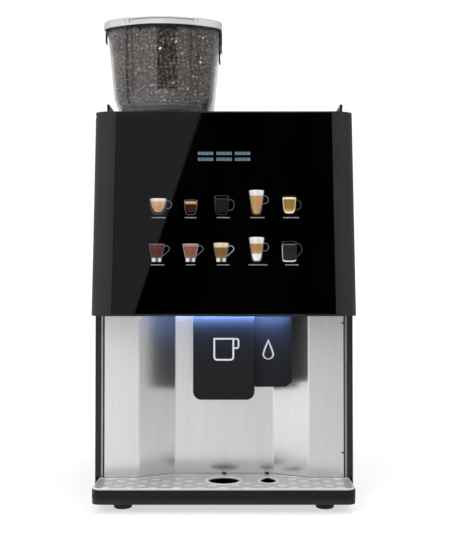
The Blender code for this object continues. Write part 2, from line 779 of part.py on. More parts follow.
def hopper_lid():
    lid = loft("hopper_lid", bowed_rings(LID_SHELL))
    for side in (-1, 1):
        left, right = mirrored(side, LID_HALF_X - 2.4, LID_HALF_X - 0.2)
        join(lid, box(
            f"lid_hook_{side + 1}", HOPPER_X + left, HOPPER_X + right,
            HOPPER_Y - 42, HOPPER_Y - 26, 697, 714.5,
        ))
    finish(lid, LID_CLEAR, "lid", roughness=0.2, alpha=0.8)


def lid_latch():
    # (x, z) around the latch
    outline = [
        (-7.4, 677), (-7.4, 672), (-3.4, 672), (-4.6, 679), (-4.6, 711), (-6, 711.8), (-7.4, 711),
    ]
    latch = plate("lid_latch", outline, HOPPER_Y - 8, HOPPER_Y + 8, axis="Y")
    finish(latch, BLACK, "latch", roughness=0.5, metallic=0.2)


# ======================= grinder =======================
def grinder_housing():
    cup = [(42, 583), (42, 516), (9, 516), (9, 521), (37, 521), (37, 583)]
    housing = turned("grinder_housing", cup, HOPPER_X, HOPPER_Y, steps=32, ring=True)
    join(housing, box("duct", -106, -80, -105, -79.4, 416, 548))
    cut(
        housing,
        box("duct_bore", -103.8, -82.2, -101.5, -81.6, 410, 545.5),
        box("duct_port", -102, -84, -112, -92, 528, 543),
    )
    finish(housing, GREY, roughness=0.4, metallic=0.7)


def grinder_motor():
    profile = [(0, 503), (30, 503), (36, 498), (36, 432), (30, 426), (0, 426)]
    motor = turned("grinder_motor", profile, HOPPER_X, HOPPER_Y, steps=28)
    join(motor, cylinder("motor_shaft", HOPPER_X, HOPPER_Y, 508, 4, 14, segments=16))
    finish(motor, GRINDER_MOTOR_GREY, roughness=0.45, metallic=0.7)


def burrs():
    upper = [(36.6, 563), (36.6, 553), (20, 550), (16, 563)]
    burr = turned("upper_burr", upper, HOPPER_X, HOPPER_Y, steps=32, ring=True)
    finish(burr, STEEL, roughness=0.3, metallic=1.0)
    lower = [
        (0, 556), (5, 552), (12, 547), (34, 547), (34, 537), (7, 533), (7, 515.6), (0, 515.6),
    ]
    burr = turned("lower_burr", lower, HOPPER_X, HOPPER_Y, steps=32)
    finish(burr, STEEL, "burr", roughness=0.3, metallic=1.0)


# ======================= brewer =======================
FRAME_FRONT, FRAME_REAR = BREW_Y - 32, BREW_Y + 38


def brewer_frame():
    low, high, wall = 292, 412, 4
    # (y, z) around a bracket open to the front
    outline = [
        (FRAME_FRONT, low), (FRAME_REAR, low), (FRAME_REAR, high), (FRAME_FRONT, high),
        (FRAME_FRONT, high - wall), (FRAME_REAR - wall, high - wall),
        (FRAME_REAR - wall, low + wall), (FRAME_FRONT, low + wall),
    ]
    frame = plate("brewer_frame", outline, -140, -38, axis="X")
    cut(
        frame,
        cylinder("grounds_hole", BREW_X, BREW_Y, 410, 24, 20),
        cylinder("spindle_hole", SPINDLE_X, BREW_Y, 410, 4.4, 20, segments=16),
    )
    finish(frame, GREY, roughness=0.45, metallic=0.8)


def brew_chamber():
    sleeve = [(29, 396), (29, 346), (22.5, 346), (22.5, 396)]
    chamber = turned("brew_chamber", sleeve, BREW_X, BREW_Y, steps=28, ring=True)
    join(chamber, box(
        "chamber_lug", BREW_X - 11, BREW_X + 11, BREW_Y + 26, FRAME_REAR - 4.3, 356, 386
    ))
    finish(chamber, CHAMBER_GREY, roughness=0.4)


def brew_piston():
    profile = [(0, 360), (21, 360), (21, 350), (6, 350), (6, 312), (0, 312)]
    nut = [(7.4, 324), (7.4, 308), (4.9, 308), (4.9, 324)]
    piston = turned("brew_piston", profile, BREW_X, BREW_Y, steps=28)
    join(
        piston,
        box("piston_arm", BREW_X, SPINDLE_X - 5.5, BREW_Y - 5, BREW_Y + 5, 312, 320),
        turned("piston_nut", nut, SPINDLE_X, BREW_Y, steps=20, ring=True),
    )
    finish(piston, PISTON_GREY, "piston", roughness=0.35, metallic=0.2)


def brewer_drive():
    spindle = gear("brew_spindle", SPINDLE_X, BREW_Y, 413, 419, SPINDLE_TEETH)
    join(spindle, cylinder("spindle_rod", SPINDLE_X, BREW_Y, 355.5, 4, 118, segments=16))
    finish(spindle, STEEL, "spindle", roughness=0.35, metallic=1.0)
    pinion = gear("drive_pinion", SPINDLE_X, PINION_Y, 413, 420, PINION_TEETH)
    join(pinion, cylinder("pinion_shaft", SPINDLE_X, PINION_Y, 423, 2.5, 12, segments=12))
    finish(pinion, STEEL, "pinion", roughness=0.35, metallic=1.0)
    profile = [(0, 462), (10, 462), (12, 460), (12, 430), (0, 430)]
    motor = turned("brewer_motor", profile, SPINDLE_X, PINION_Y, steps=20)
    finish(motor, MOTOR_GREY, roughness=0.35, metallic=0.9)


# ======================= instant products =======================
def trough(x, inset, floor_radius, top):
    """(x, z) around a canister: straight sides that taper to a half-round floor."""
    half_w, shoulder = 34 - inset, 440
    angles = [math.radians(180 + 180 * i / 6) for i in range(7)]
    floor = [
        (x + floor_radius * math.cos(angle), AUGER_Z + floor_radius * math.sin(angle))
        for angle in angles
    ]
    return [
        (x - half_w, top), (x - half_w, shoulder), *floor, (x + half_w, shoulder), (x + half_w, top)
    ]


def canister(name, x, colour):
    can = plate(name + "_canister", trough(x, 0, 18, 566), -78, 120, axis="Y")
    join(can, cylinder(name + "_outlet", x, -94, AUGER_Z, 15.6, 34, "Y", 20))
    cut(
        can,
        plate(name + "_bore", trough(x, 2, 16, 600), -76, 118, axis="Y"),
        cylinder(name + "_outlet_bore", x, -91, AUGER_Z, 13.6, 36, "Y", 20),
        box(name + "_outlet_port", x - 8, x + 8, -107, -93, 376, 394),
        cylinder(name + "_auger_hole", x, 120, AUGER_Z, 4, 20, "Y", 12),
    )
    finish(can, colour, roughness=0.4)


def auger_screw(name, x):
    """A flat strip twisted into a screw, on a round tail that leaves through the rear wall."""
    front, pitch = -105, 46
    strip = box_mesh(-12, 12, front, 112, -1.5, 1.5)
    long_edges = [
        edge for edge in strip.edges if abs(edge.verts[0].co.y - edge.verts[1].co.y) > 0.1
    ]
    bmesh.ops.subdivide_edges(strip, edges=long_edges, cuts=27, use_grid_fill=True)
    for vert in strip.verts:
        twist = (vert.co.y / MM - front) / pitch * 2 * math.pi
        vert.co = Matrix.Rotation(twist, 3, "Y") @ vert.co
    bmesh.ops.translate(strip, vec=Vector((x, 0, AUGER_Z)) * MM, verts=strip.verts[:])
    auger = as_object(name + "_auger", strip)
    join(auger, cylinder(name + "_auger_tail", x, 120, AUGER_Z, 3.4, 30, "Y", 12))
    finish(auger, AUGER_WHITE, name + "_auger", roughness=0.35)


def instant_products():
    for name, x, colour in (
        ("milk", MILK_X, MILK_CAN), ("chocolate", CHOCOLATE_X, CHOCOLATE_CAN),
    ):
        canister(name, x, colour)
        auger_screw(name, x)


def mixing_bowl():
    profile = [
        (46, 372), (46, 352), (19, 328), (19, 300), (6, 300),
        (6, 303), (17, 303), (17, 329), (43.8, 353), (43.8, 372),
    ]
    bowl = turned("mixing_bowl", profile, BOWL_X, BOWL_Y, steps=28, ring=True)
    finish(bowl, BOWL_WHITE, roughness=0.35)


def whipper():
    profile = [(0, 316), (4, 314), (14, 310), (14, 307), (3, 306), (3, 282), (0, 282)]
    impeller = turned("whipper_impeller", profile, BOWL_X, BOWL_Y, steps=20)
    for name, half_x, half_y in (("impeller_vane_a", 13, 1), ("impeller_vane_b", 1, 13)):
        join(impeller, box(
            name, BOWL_X - half_x, BOWL_X + half_x, BOWL_Y - half_y, BOWL_Y + half_y, 308, 320
        ))
    finish(impeller, IMPELLER_WHITE, "whipper", roughness=0.35)
    profile = [(0, 281), (8, 281), (17, 279), (17, 236), (0, 236)]
    motor = turned("whipper_motor", profile, BOWL_X, BOWL_Y)
    finish(motor, MOTOR_GREY, roughness=0.35, metallic=0.9)


# ======================= water and power =======================
def boiler():
    profile = [
        (0, 474), (12, 474), (12, 466), (34, 462), (46, 450),
        (46, 304), (34, 292), (12, 288), (0, 288),
    ]
    tank = turned("boiler", profile, -125, 140, steps=32)
    finish(tank, STEEL, roughness=0.3, metallic=1.0)


def water_pump():
    pump = cylinder("water_pump", -10, 160, 48, 21, 92, "Y")
    join(pump, box("pump_foot", -28, 8, 130, 190, Z_FLOOR, 40))
    finish(pump, PUMP_BLACK, roughness=0.5, metallic=0.3)


def power_supply():
    supply = box("power_supply", 60, 160, 90, 220, Z_FLOOR, 64)
    finish(supply, STEEL, roughness=0.4, metallic=0.9)


def hose(name, points):
    """A round hose along straight runs, with its corners cut off."""
    radius, corner = 3.0, 6.0
    points = [Vector(point) for point in points]
    path = [points[0]]
    for before, here, after in zip(points, points[1:], points[2:]):
        for other in (before, after):
            path.append(here + (other - here).normalized() * corner)
    path.append(points[-1])
    curve = bpy.data.curves.new(name, "CURVE")
    curve.dimensions = "3D"
    curve.bevel_depth = radius * MM
    curve.bevel_resolution = 2
    curve.use_fill_caps = True
    spline = curve.splines.new("POLY")
    spline.points.add(len(path) - 1)
    for point, place in zip(spline.points, path):
        point.co = (*(place * MM), 1)
    obj = bpy.data.objects.new(name, curve)
    PARTS.objects.link(obj)
    finish(obj, HOSE_WHITE, roughness=0.3)


def hoses():
    hose("coffee_hose", [(-34, BREW_Y, 300), (0, BREW_Y, 300), (0, -156, 300), (0, -156, 215)])
    hose("water_hose", [
        (-74, 150, 302), (20, 150, 302), (20, -140, 302), (WATER_X, -156, 302),
        (WATER_X, -156, 215),
    ])


def power_inlet():
    inlet = box("power_inlet", INLET_LEFT, INLET_RIGHT, 238, 269.6, INLET_LOW, INLET_HIGH)
    cut(
        inlet,
        box("inlet_socket", -147, -119, 254, 280, 52, 73),
        box("switch_pocket", -112.4, -93.6, 253, 280, 49.2, 75.8),
    )
    finish(inlet, BLACK, roughness=0.5)


def power_switch():
    # (y, z) around the rocker
    outline = [(258, 51), (263.5, 50.4), (268.6, 51.2), (266.4, 62.5), (263.6, 74.6), (258, 74)]
    rocker = plate("power_switch", outline, -111.6, -94.4, axis="X")
    finish(rocker, SWITCH_BLACK, "switch", roughness=0.4)


def rear_fan():
    blades, pitch_angle = 5, math.radians(32)
    hub = [(0, 262), (13, 262), (15, 260), (15, 245), (0, 245)]
    fan = turned("rear_fan", hub, 0, 0)
    # the hub's heights become places along Y
    lie_down = Matrix.Rotation(-math.pi / 2, 4, "X")
    fan.matrix_world = shift(FAN_X, 0, FAN_Z) @ lie_down
    for i in range(blades):
        blade = box_mesh(-9, 9, 12, 39, -0.9, 0.9)
        pitched = Matrix.Rotation(pitch_angle, 4, "Y")
        bmesh.ops.transform(blade, matrix=pitched, verts=blade.verts[:])
        around = Matrix.Rotation(2 * math.pi * i / blades, 4, "Y")
        bmesh.ops.transform(
            blade, matrix=shift(FAN_X, 253.5, FAN_Z) @ around @ lie_down, verts=blade.verts[:]
        )
        join(fan, as_object(f"fan_blade_{i}", blade))
    finish(fan, BLACK, "fan", roughness=0.5)


def smooth_parts():
    """Shades the mesh pieces smooth, with sharp edges above 30 degrees."""
    for obj in PARTS.objects:
        if obj.type == "MESH":
            obj.data.shade_smooth()
            obj.data.set_sharp_from_angle(angle=math.radians(30))


make_joints()
for build in (
    base_plate, feet, side_panels, rear_panel, top_cover, service_flap, top_rails,
    splash_panel, chassis_deck, waste_bin, spouts, cup_spout_cover, water_spout_cover,
    drip_tray, drip_grille,
    door_frame, door_fittings, hinge_brackets, lock_cam,
    hopper_collar, hopper_gate, hopper_body, coffee_beans, hopper_lid, lid_latch,
    grinder_housing, grinder_motor, burrs,
    brewer_frame, brew_chamber, brew_piston, brewer_drive,
    instant_products, mixing_bowl, whipper,
    boiler, water_pump, power_supply, hoses, power_inlet, power_switch, rear_fan,
):
    build()
smooth_parts()
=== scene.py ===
"""A table-top hot coffee vending machine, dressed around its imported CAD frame.

Metres, Z up. The machine stands on z = 0 with its front towards -Y and x = 0 down its middle.
The bean hopper sits on top at the left (-X). The door's black glass leans back as it rises.
"""

import json
import math
import random

import bmesh
import bpy
from mathutils import Matrix, Vector

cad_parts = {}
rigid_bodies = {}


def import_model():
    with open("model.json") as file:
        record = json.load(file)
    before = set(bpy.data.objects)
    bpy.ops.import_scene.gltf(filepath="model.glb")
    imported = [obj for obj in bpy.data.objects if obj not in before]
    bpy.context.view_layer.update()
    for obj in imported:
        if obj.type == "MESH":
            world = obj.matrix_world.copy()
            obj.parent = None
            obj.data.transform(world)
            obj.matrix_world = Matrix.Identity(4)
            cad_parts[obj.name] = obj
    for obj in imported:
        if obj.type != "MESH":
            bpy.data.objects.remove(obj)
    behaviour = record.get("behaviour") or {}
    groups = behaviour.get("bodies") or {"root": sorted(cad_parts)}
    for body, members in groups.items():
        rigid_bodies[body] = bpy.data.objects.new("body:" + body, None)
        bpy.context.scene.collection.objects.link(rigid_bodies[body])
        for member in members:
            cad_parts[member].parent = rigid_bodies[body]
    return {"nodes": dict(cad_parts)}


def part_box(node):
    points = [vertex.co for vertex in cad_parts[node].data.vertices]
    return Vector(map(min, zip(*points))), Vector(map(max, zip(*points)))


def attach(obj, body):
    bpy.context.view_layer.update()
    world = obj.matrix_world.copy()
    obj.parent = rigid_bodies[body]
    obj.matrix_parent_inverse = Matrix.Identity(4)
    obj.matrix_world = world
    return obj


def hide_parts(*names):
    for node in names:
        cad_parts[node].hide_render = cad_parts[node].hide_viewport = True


for old in list(bpy.data.objects):
    bpy.data.objects.remove(old, do_unlink=True)

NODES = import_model()["nodes"]
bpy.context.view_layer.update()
SCENE = bpy.context.scene
MM = 0.001
LOOK = {}  # finished materials by name
rng = random.Random(7)

# brightness that glossy surfaces see, from the left (-X) to the right, by share of the width
SIDE_LIGHT = [(0.0, 1.02), (0.34, 1.02), (0.5, 0.83), (0.66, 0.68), (1.0, 0.58)]
DOOR_CARD_STRENGTH = 0.38
WORLD_DIFFUSE = 0.85
LED_POWER = 0.85
LED_BLUE = (0.24, 0.42, 1.0)


# ------------------------------------------------------------------ mesh helpers
def link_object(name, mesh, material, body):
    """Put a mesh in the scene; the material is a name in LOOK, body the part it rides on."""
    obj = bpy.data.objects.new(name, mesh)
    SCENE.collection.objects.link(obj)
    mesh.materials.append(LOOK[material])
    if body:
        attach(obj, body)
    return obj


def mesh_object(name, bm, material, body=None, smooth=None, recalc=True):
    """Turn a bmesh into an object; smooth is the sharpest angle in degrees shaded as round."""
    if recalc:
        bmesh.ops.recalc_face_normals(bm, faces=bm.faces[:])
    mesh = bpy.data.meshes.new(name)
    bm.to_mesh(mesh)
    bm.free()
    if smooth is not None:
        mesh.shade_smooth()
        mesh.set_sharp_from_angle(angle=math.radians(smooth))
    return link_object(name, mesh, material, body)


def bevel(obj, width, segments=2, angle=40):
    modifier = obj.modifiers.new("edges", "BEVEL")
    modifier.width = width
    modifier.segments = segments
    modifier.limit_method = "ANGLE"
    modifier.angle_limit = math.radians(angle)


def add_box(bm, x0, x1, y0, y1, z0, z1, matrix=None):
    made = bmesh.ops.create_cube(bm, size=1.0)["verts"]
    bmesh.ops.scale(bm, vec=Vector((x1 - x0, y1 - y0, z1 - z0)), verts=made)
    bmesh.ops.translate(bm, vec=Vector((x0 + x1, y0 + y1, z0 + z1)) / 2, verts=made)
    if matrix is not None:
        bmesh.ops.transform(bm, matrix=matrix, verts=made)


def add_cylinder(bm, x, y, z, radius, depth, segments):
    """A capped cylinder lying along Y."""
    bmesh.ops.create_cone(
        bm, cap_ends=True, segments=segments, radius1=radius, radius2=radius, depth=depth,
        matrix=Matrix.Translation(Vector((x, y, z))) @ Matrix.Rotation(-math.pi / 2, 4, "X"),
    )


def box_object(name, spans, material, body, smooth=30, edge=0.0, segments=2, matrix=None):
    """One object made of boxes, each given as (x0, x1, y0, y1, z0, z1)."""
    bm = bmesh.new()
    for span in spans:
        add_box(bm, *span, matrix)
    obj = mesh_object(name, bm, material, body, smooth)
    if edge:
        bevel(obj, edge, segments)
    return obj


def skin_object(name, stacks, material, body, smooth, closed=False):
    """Faces between the rings of each stack, capped at both ends or closed onto the first ring."""
    bm = bmesh.new()
    for rings in stacks:
        loops = [[bm.verts.new(Vector(p)) for p in ring] for ring in rings]
        count = len(loops[0])
        for low, high in zip(loops, loops[1:] + ([loops[0]] if closed else [])):
            for i in range(count):
                j = (i + 1) % count
                bm.faces.new((low[i], low[j], high[j], high[i]))
        if not closed:
            bm.faces.new(loops[0][::-1])
            bm.faces.new(loops[-1])
    return mesh_object(name, bm, material, body, smooth)


def cut_box(obj, span, material):
    """Cut a box out of an object for good."""
    cutter = box_object("cutter", [span], material, None, smooth=None)
    modifier = obj.modifiers.new("cut", "BOOLEAN")
    modifier.object = cutter
    modifier.operation = "DIFFERENCE"
    bpy.context.view_layer.update()
    graph = bpy.context.evaluated_depsgraph_get()
    cut_mesh = bpy.data.meshes.new_from_object(obj.evaluated_get(graph))
    obj.modifiers.clear()
    obj.data = cut_mesh
    bpy.data.objects.remove(cutter, do_unlink=True)


def dress(obj, material, width):
    """A CAD node keeps its shape, and gets welded points, rounded edges and a finish."""
    if obj.data.materials:
        obj.data.materials[0] = LOOK[material]
    else:
        obj.data.materials.append(LOOK[material])
    for old_shading in ("custom_normal", "sharp_edge"):
        if old_shading in obj.data.attributes:
            obj.data.attributes.remove(obj.data.attributes[old_shading])
    obj.data.polygons.foreach_set("use_smooth", [True] * len(obj.data.polygons))
    obj.modifiers.new("weld", "WELD").merge_threshold = 2e-6
    if width:
        bevel(obj, width, angle=35)
        weighted = obj.modifiers.new("normals", "WEIGHTED_NORMAL")
        weighted.weight = 90
        weighted.keep_sharp = True
    else:
        obj.modifiers.new("sharp", "EDGE_SPLIT").split_angle = math.radians(32)


# ------------------------------------------------------------------ outlines and sheets
def rounded(x0, x1, y0, y1, radius, steps=8):
    """A rectangle with rounded corners, counter-clockwise from (x0, y0); one radius or four."""
    radii = radius if isinstance(radius, tuple) else (radius,) * 4
    corners = ((x0, y0, 1, 1, 180), (x1, y0, -1, 1, 270), (x1, y1, -1, -1, 0), (x0, y1, 1, -1, 90))
    points = []
    for (corner_x, corner_y, inward_x, inward_y, start), r in zip(corners, radii):
        for i in range(steps + 1):
            a = math.radians(start + 90 * i / steps)
            points.append((
                corner_x + inward_x * r + r * math.cos(a),
                corner_y + inward_y * r + r * math.sin(a),
            ))
    return points


def rim_loops(x0, x1, y0, y1, rows, steps):
    """Nested rounded rectangles; rows are (growth, corner radius, height)."""
    return [
        (rounded(x0 - grow, x1 + grow, y0 - grow, y1 + grow, radius, steps), height)
        for grow, radius, height in rows
    ]


def circle(x, y, radius, steps):
    angles = (2 * math.pi * i / steps for i in range(steps))
    return [(x + radius * math.cos(a), y + radius * math.sin(a)) for a in angles]


def grown(loop, distance):
    """The loop with every point moved outwards by a distance."""
    count = len(loop)
    twice_area = sum(
        loop[i][0] * loop[(i + 1) % count][1] - loop[(i + 1) % count][0] * loop[i][1]
        for i in range(count)
    )
    sign = 1 if twice_area > 0 else -1
    out = []
    for i, (x, y) in enumerate(loop):
        along = Vector(loop[(i + 1) % count]) - Vector(loop[i - 1])
        if along.length < 1e-9:
            out.append((x, y))
            continue
        along.normalize()
        out.append((x + along.y * distance * sign, y - along.x * distance * sign))
    return out


def softened(points, corner, share, steps):
    """An open path whose inner corners become curves, each at most a share of its legs long."""
    path = [Vector(p) for p in points]
    out = [path[0]]
    for before, point, after in zip(path, path[1:], path[2:]):
        reach = min(corner, (before - point).length * share, (after - point).length * share)
        start = point + (before - point).normalized() * reach
        end = point + (after - point).normalized() * reach
        for k in range(steps + 1):
            t = k / steps
            out.append((1 - t) ** 2 * start + 2 * t * (1 - t) * point + t * t * end)
    out.append(path[-1])
    return out


def sheet(name, loops, low, high, matrix, material, body, smooth=None):
    """Flat outlines with holes, extruded from low to high along the local Z of matrix."""
    curve = bpy.data.curves.new(name, "CURVE")
    curve.dimensions = "2D"
    curve.fill_mode = "BOTH"
    curve.extrude = (high - low) / 2
    for loop in loops:
        spline = curve.splines.new("POLY")
        spline.points.add(len(loop) - 1)
        for point, (u, v) in zip(spline.points, loop):
            point.co = (u, v, 0, 1)
        spline.use_cyclic_u = True
    guide = bpy.data.objects.new(name + "_g", curve)
    SCENE.collection.objects.link(guide)
    bpy.context.view_layer.update()
    graph = bpy.context.evaluated_depsgraph_get()
    mesh = bpy.data.meshes.new_from_object(guide.evaluated_get(graph))
    bm = bmesh.new()
    bm.from_mesh(mesh)
    bmesh.ops.remove_doubles(bm, verts=bm.verts[:], dist=1e-7)
    bmesh.ops.dissolve_limit(
        bm, angle_limit=math.radians(0.5), verts=bm.verts[:], edges=bm.edges[:]
    )
    middle = Matrix.Translation((0, 0, (low + high) / 2))
    bmesh.ops.transform(bm, matrix=matrix @ middle, verts=bm.verts[:])
    bpy.data.objects.remove(guide, do_unlink=True)
    bpy.data.meshes.remove(mesh)
    return mesh_object(name, bm, material, body, smooth)


def tube(name, points, radius, material, body, closed=False, sides=8, corner=0.0):
    """A round wire through points, made as a closed mesh."""
    path = softened(points, corner, 0.45, 4) if corner else [Vector(p) for p in points]
    count = len(path)
    rings = []
    normal = None
    for i, point in enumerate(path):
        if closed:
            tangent = (path[(i + 1) % count] - path[i - 1]).normalized()
        else:
            tangent = (path[min(i + 1, count - 1)] - path[max(i - 1, 0)]).normalized()
        if normal is None:
            normal = tangent.orthogonal().normalized()
        normal = (normal - tangent * normal.dot(tangent)).normalized()
        side = tangent.cross(normal)
        angles = (2 * math.pi * k / sides for k in range(sides))
        rings.append(
            [point + (normal * math.cos(a) + side * math.sin(a)) * radius for a in angles]
        )
    skin_object(name, [rings], material, body, 60, closed)


# ------------------------------------------------------------------ shader helpers
def feed(tree, socket, value):
    """Link a socket, or set a number or an RGB colour, into an input."""
    if isinstance(value, bpy.types.NodeSocket):
        tree.links.new(value, socket)
    elif isinstance(value, (tuple, list)):
        socket.default_value = (*value, 1.0)
    else:
        socket.default_value = value


def plug(tree, target, inputs):
    for key, value in inputs.items():
        feed(tree, target.inputs[key], value)


def node(tree, kind, inputs=None, **settings):
    made = tree.nodes.new("ShaderNode" + kind)
    for key, value in settings.items():
        setattr(made, key, value)
    plug(tree, made, inputs or {})
    return made


def principled(name):
    """A new material, entered in LOOK; gives its node tree and its Principled shader."""
    material = bpy.data.materials.new(name)
    material.use_nodes = True
    LOOK[name] = material
    return material.node_tree, material.node_tree.nodes["Principled BSDF"]


def coords(tree, stretch=(1, 1, 1), rotation=(0, 0, 0)):
    mapping = node(tree, "Mapping", {"Vector": node(tree, "TexCoord").outputs["Object"]})
    mapping.inputs["Scale"].default_value = stretch
    mapping.inputs["Rotation"].default_value = rotation
    return mapping.outputs["Vector"]


def split_axes(tree, vector):
    return node(tree, "SeparateXYZ", {0: vector}).outputs


def noise(tree, place, scale, detail, roughness=0.5):
    return node(tree, "TexNoise", {
        "Scale": scale, "Detail": detail, "Roughness": roughness, "Vector": place,
    }).outputs["Fac"]


def remap(tree, value, to=(0, 1), span=(0.3, 0.7)):
    """Carry the span of a value over to another range; the default span suits noise."""
    return node(tree, "MapRange", {
        "From Min": span[0], "From Max": span[1], "To Min": to[0], "To Max": to[1], "Value": value,
    }).outputs["Result"]


def calc(tree, operation, *terms):
    return node(tree, "Math", dict(enumerate(terms)), operation=operation).outputs[0]


def mix_colour(tree, factor, first, second, **settings):
    # inputs 6 and 7 and output 2 are the colour sockets of a Mix node
    inputs = {0: factor, 6: first, 7: second}
    return node(tree, "Mix", inputs, data_type="RGBA", **settings).outputs[2]


def mix_shader(tree, factor, first, second):
    return node(tree, "MixShader", {0: factor, 1: first, 2: second}).outputs[0]


def bump(tree, height, strength, distance):
    return node(tree, "Bump", {
        "Strength": strength, "Distance": distance, "Height": height,
    }).outputs["Normal"]


def colour_ramp(tree, value, stops):
    """Stops are (place, colour), where a single number stands for a grey."""
    ramp = node(tree, "ValToRGB", {0: value})
    elements = ramp.color_ramp.elements
    while len(elements) > 1:
        elements.remove(elements[-1])
    for i, (place, colour) in enumerate(stops):
        element = elements[0] if i == 0 else elements.new(place)
        element.position = place
        element.color = (*(colour if isinstance(colour, tuple) else (colour,) * 3), 1)
    return ramp.outputs[0]


def edge_wear(tree):
    """0 on flats and towards 1 on edges, where a rounded normal departs from the true one."""
    round_normal = node(tree, "Bevel", {"Radius": 0.0012}, samples=4).outputs["Normal"]
    true_normal = node(tree, "NewGeometry").outputs["Normal"]
    likeness = node(tree, "VectorMath", {0: round_normal, 1: true_normal}, operation="DOT_PRODUCT")
    return remap(tree, likeness.outputs["Value"], to=(1.0, 0.0), span=(0.80, 0.995))


# ------------------------------------------------------------------ families of materials
def moulded(name, colour, rough, grain, grain_scale, specular, worn):
    """Moulded plastic, coat or powder: fine grain, uneven gloss, paler rubbed edges if worn."""
    tree, shader = principled(name)
    place = coords(tree)
    blotch = noise(tree, place, scale=14, detail=4)
    dark = [c * 0.88 for c in colour]
    light = [min(1, c * 1.18) for c in colour]
    body = mix_colour(tree, remap(tree, blotch), dark, light)
    if worn:
        faded = calc(tree, "MULTIPLY", edge_wear(tree), worn)
        body = mix_colour(tree, faded, body, [min(1, c * 2.2 + 0.02) for c in colour])
    fine = noise(tree, place, scale=grain_scale, detail=2)
    plug(tree, shader, {
        "Base Color": body,
        "Roughness": remap(tree, blotch, to=rough),
        "Specular IOR Level": specular,
        "Normal": bump(tree, fine, strength=grain, distance=0.00012),
    })


def brushed(name, colour, rough, stretch, anisotropy, depth, streak, metallic):
    """Brushed steel: fine lines along the axis whose stretch is small, and faint broad streaks."""
    tree, shader = principled(name)
    fine = noise(tree, coords(tree, stretch), scale=1500, detail=3, roughness=0.6)
    wide_stretch = tuple(max(s, 0.03) for s in stretch)
    broad = noise(tree, coords(tree, wide_stretch), scale=150, detail=2)
    smudge = noise(tree, coords(tree), scale=9, detail=4)
    dark = [c * (1 - streak) for c in colour]
    light = [min(1, c * (1 + streak)) for c in colour]
    tone = mix_colour(tree, remap(tree, broad), dark, light)
    tone = mix_colour(tree, remap(tree, fine, to=(0.0, 0.12)), tone, [c * 0.7 for c in colour])
    lines = remap(tree, fine, to=rough)
    smears = remap(tree, smudge, to=(-0.015, 0.02))
    plug(tree, shader, {
        "Base Color": tone,
        "Roughness": calc(tree, "ADD", lines, smears),
        "Metallic": metallic,
        "Anisotropic": anisotropy,
        "Normal": bump(tree, fine, strength=depth, distance=0.00005),
    })


def metal(name, colour, rough, metallic=1.0):
    tree, shader = principled(name)
    place = coords(tree)
    blotch = noise(tree, place, scale=40, detail=5)
    dark = [c * 0.82 for c in colour]
    light = [min(1, c * 1.08) for c in colour]
    fine = noise(tree, place, scale=900, detail=2)
    plug(tree, shader, {
        "Base Color": mix_colour(tree, remap(tree, blotch), dark, light),
        "Roughness": remap(tree, blotch, to=rough),
        "Metallic": metallic,
        "Normal": bump(tree, fine, strength=0.05, distance=0.0001),
    })


def clear(name, tint, rough, haze, edge, ior=1.45):
    """Clear or milky plastic: see-through face on, shinier and whiter at grazing angles."""
    tree, unused = principled(name)
    tree.nodes.remove(unused)
    see_through = node(tree, "BsdfTransparent", {"Color": [0.5 + c * 0.5 for c in tint]})
    scuff = noise(tree, coords(tree, (1, 1, 0.3)), scale=160, detail=4)
    scuffed = [c * 0.86 for c in tint]
    milk = node(tree, "BsdfPrincipled", {
        "Roughness": 0.35,
        "Base Color": mix_colour(tree, remap(tree, scuff, to=(0, 0.4)), tint, scuffed),
    })
    facing = node(tree, "LayerWeight", {"Blend": 0.5}).outputs["Facing"]
    haze_level = remap(tree, scuff, to=(haze * 0.8, haze * 1.25))
    cloud = calc(tree, "MULTIPLY_ADD", calc(tree, "POWER", facing, 3.0), edge, haze_level)
    body = mix_shader(tree, cloud, see_through.outputs[0], milk.outputs[0])
    gloss = node(tree, "BsdfGlossy", {"Roughness": remap(tree, scuff, to=(rough, rough + 0.06))})
    # reflection: the face-on share given by the refractive index, rising at grazing angles
    face_on = ((ior - 1) / (ior + 1)) ** 2
    reflect = calc(tree, "MULTIPLY_ADD", calc(tree, "POWER", facing, 5.0), 0.5, face_on)
    surface = mix_shader(tree, reflect, body, gloss.outputs[0])
    feed(tree, tree.nodes["Material Output"].inputs["Surface"], surface)


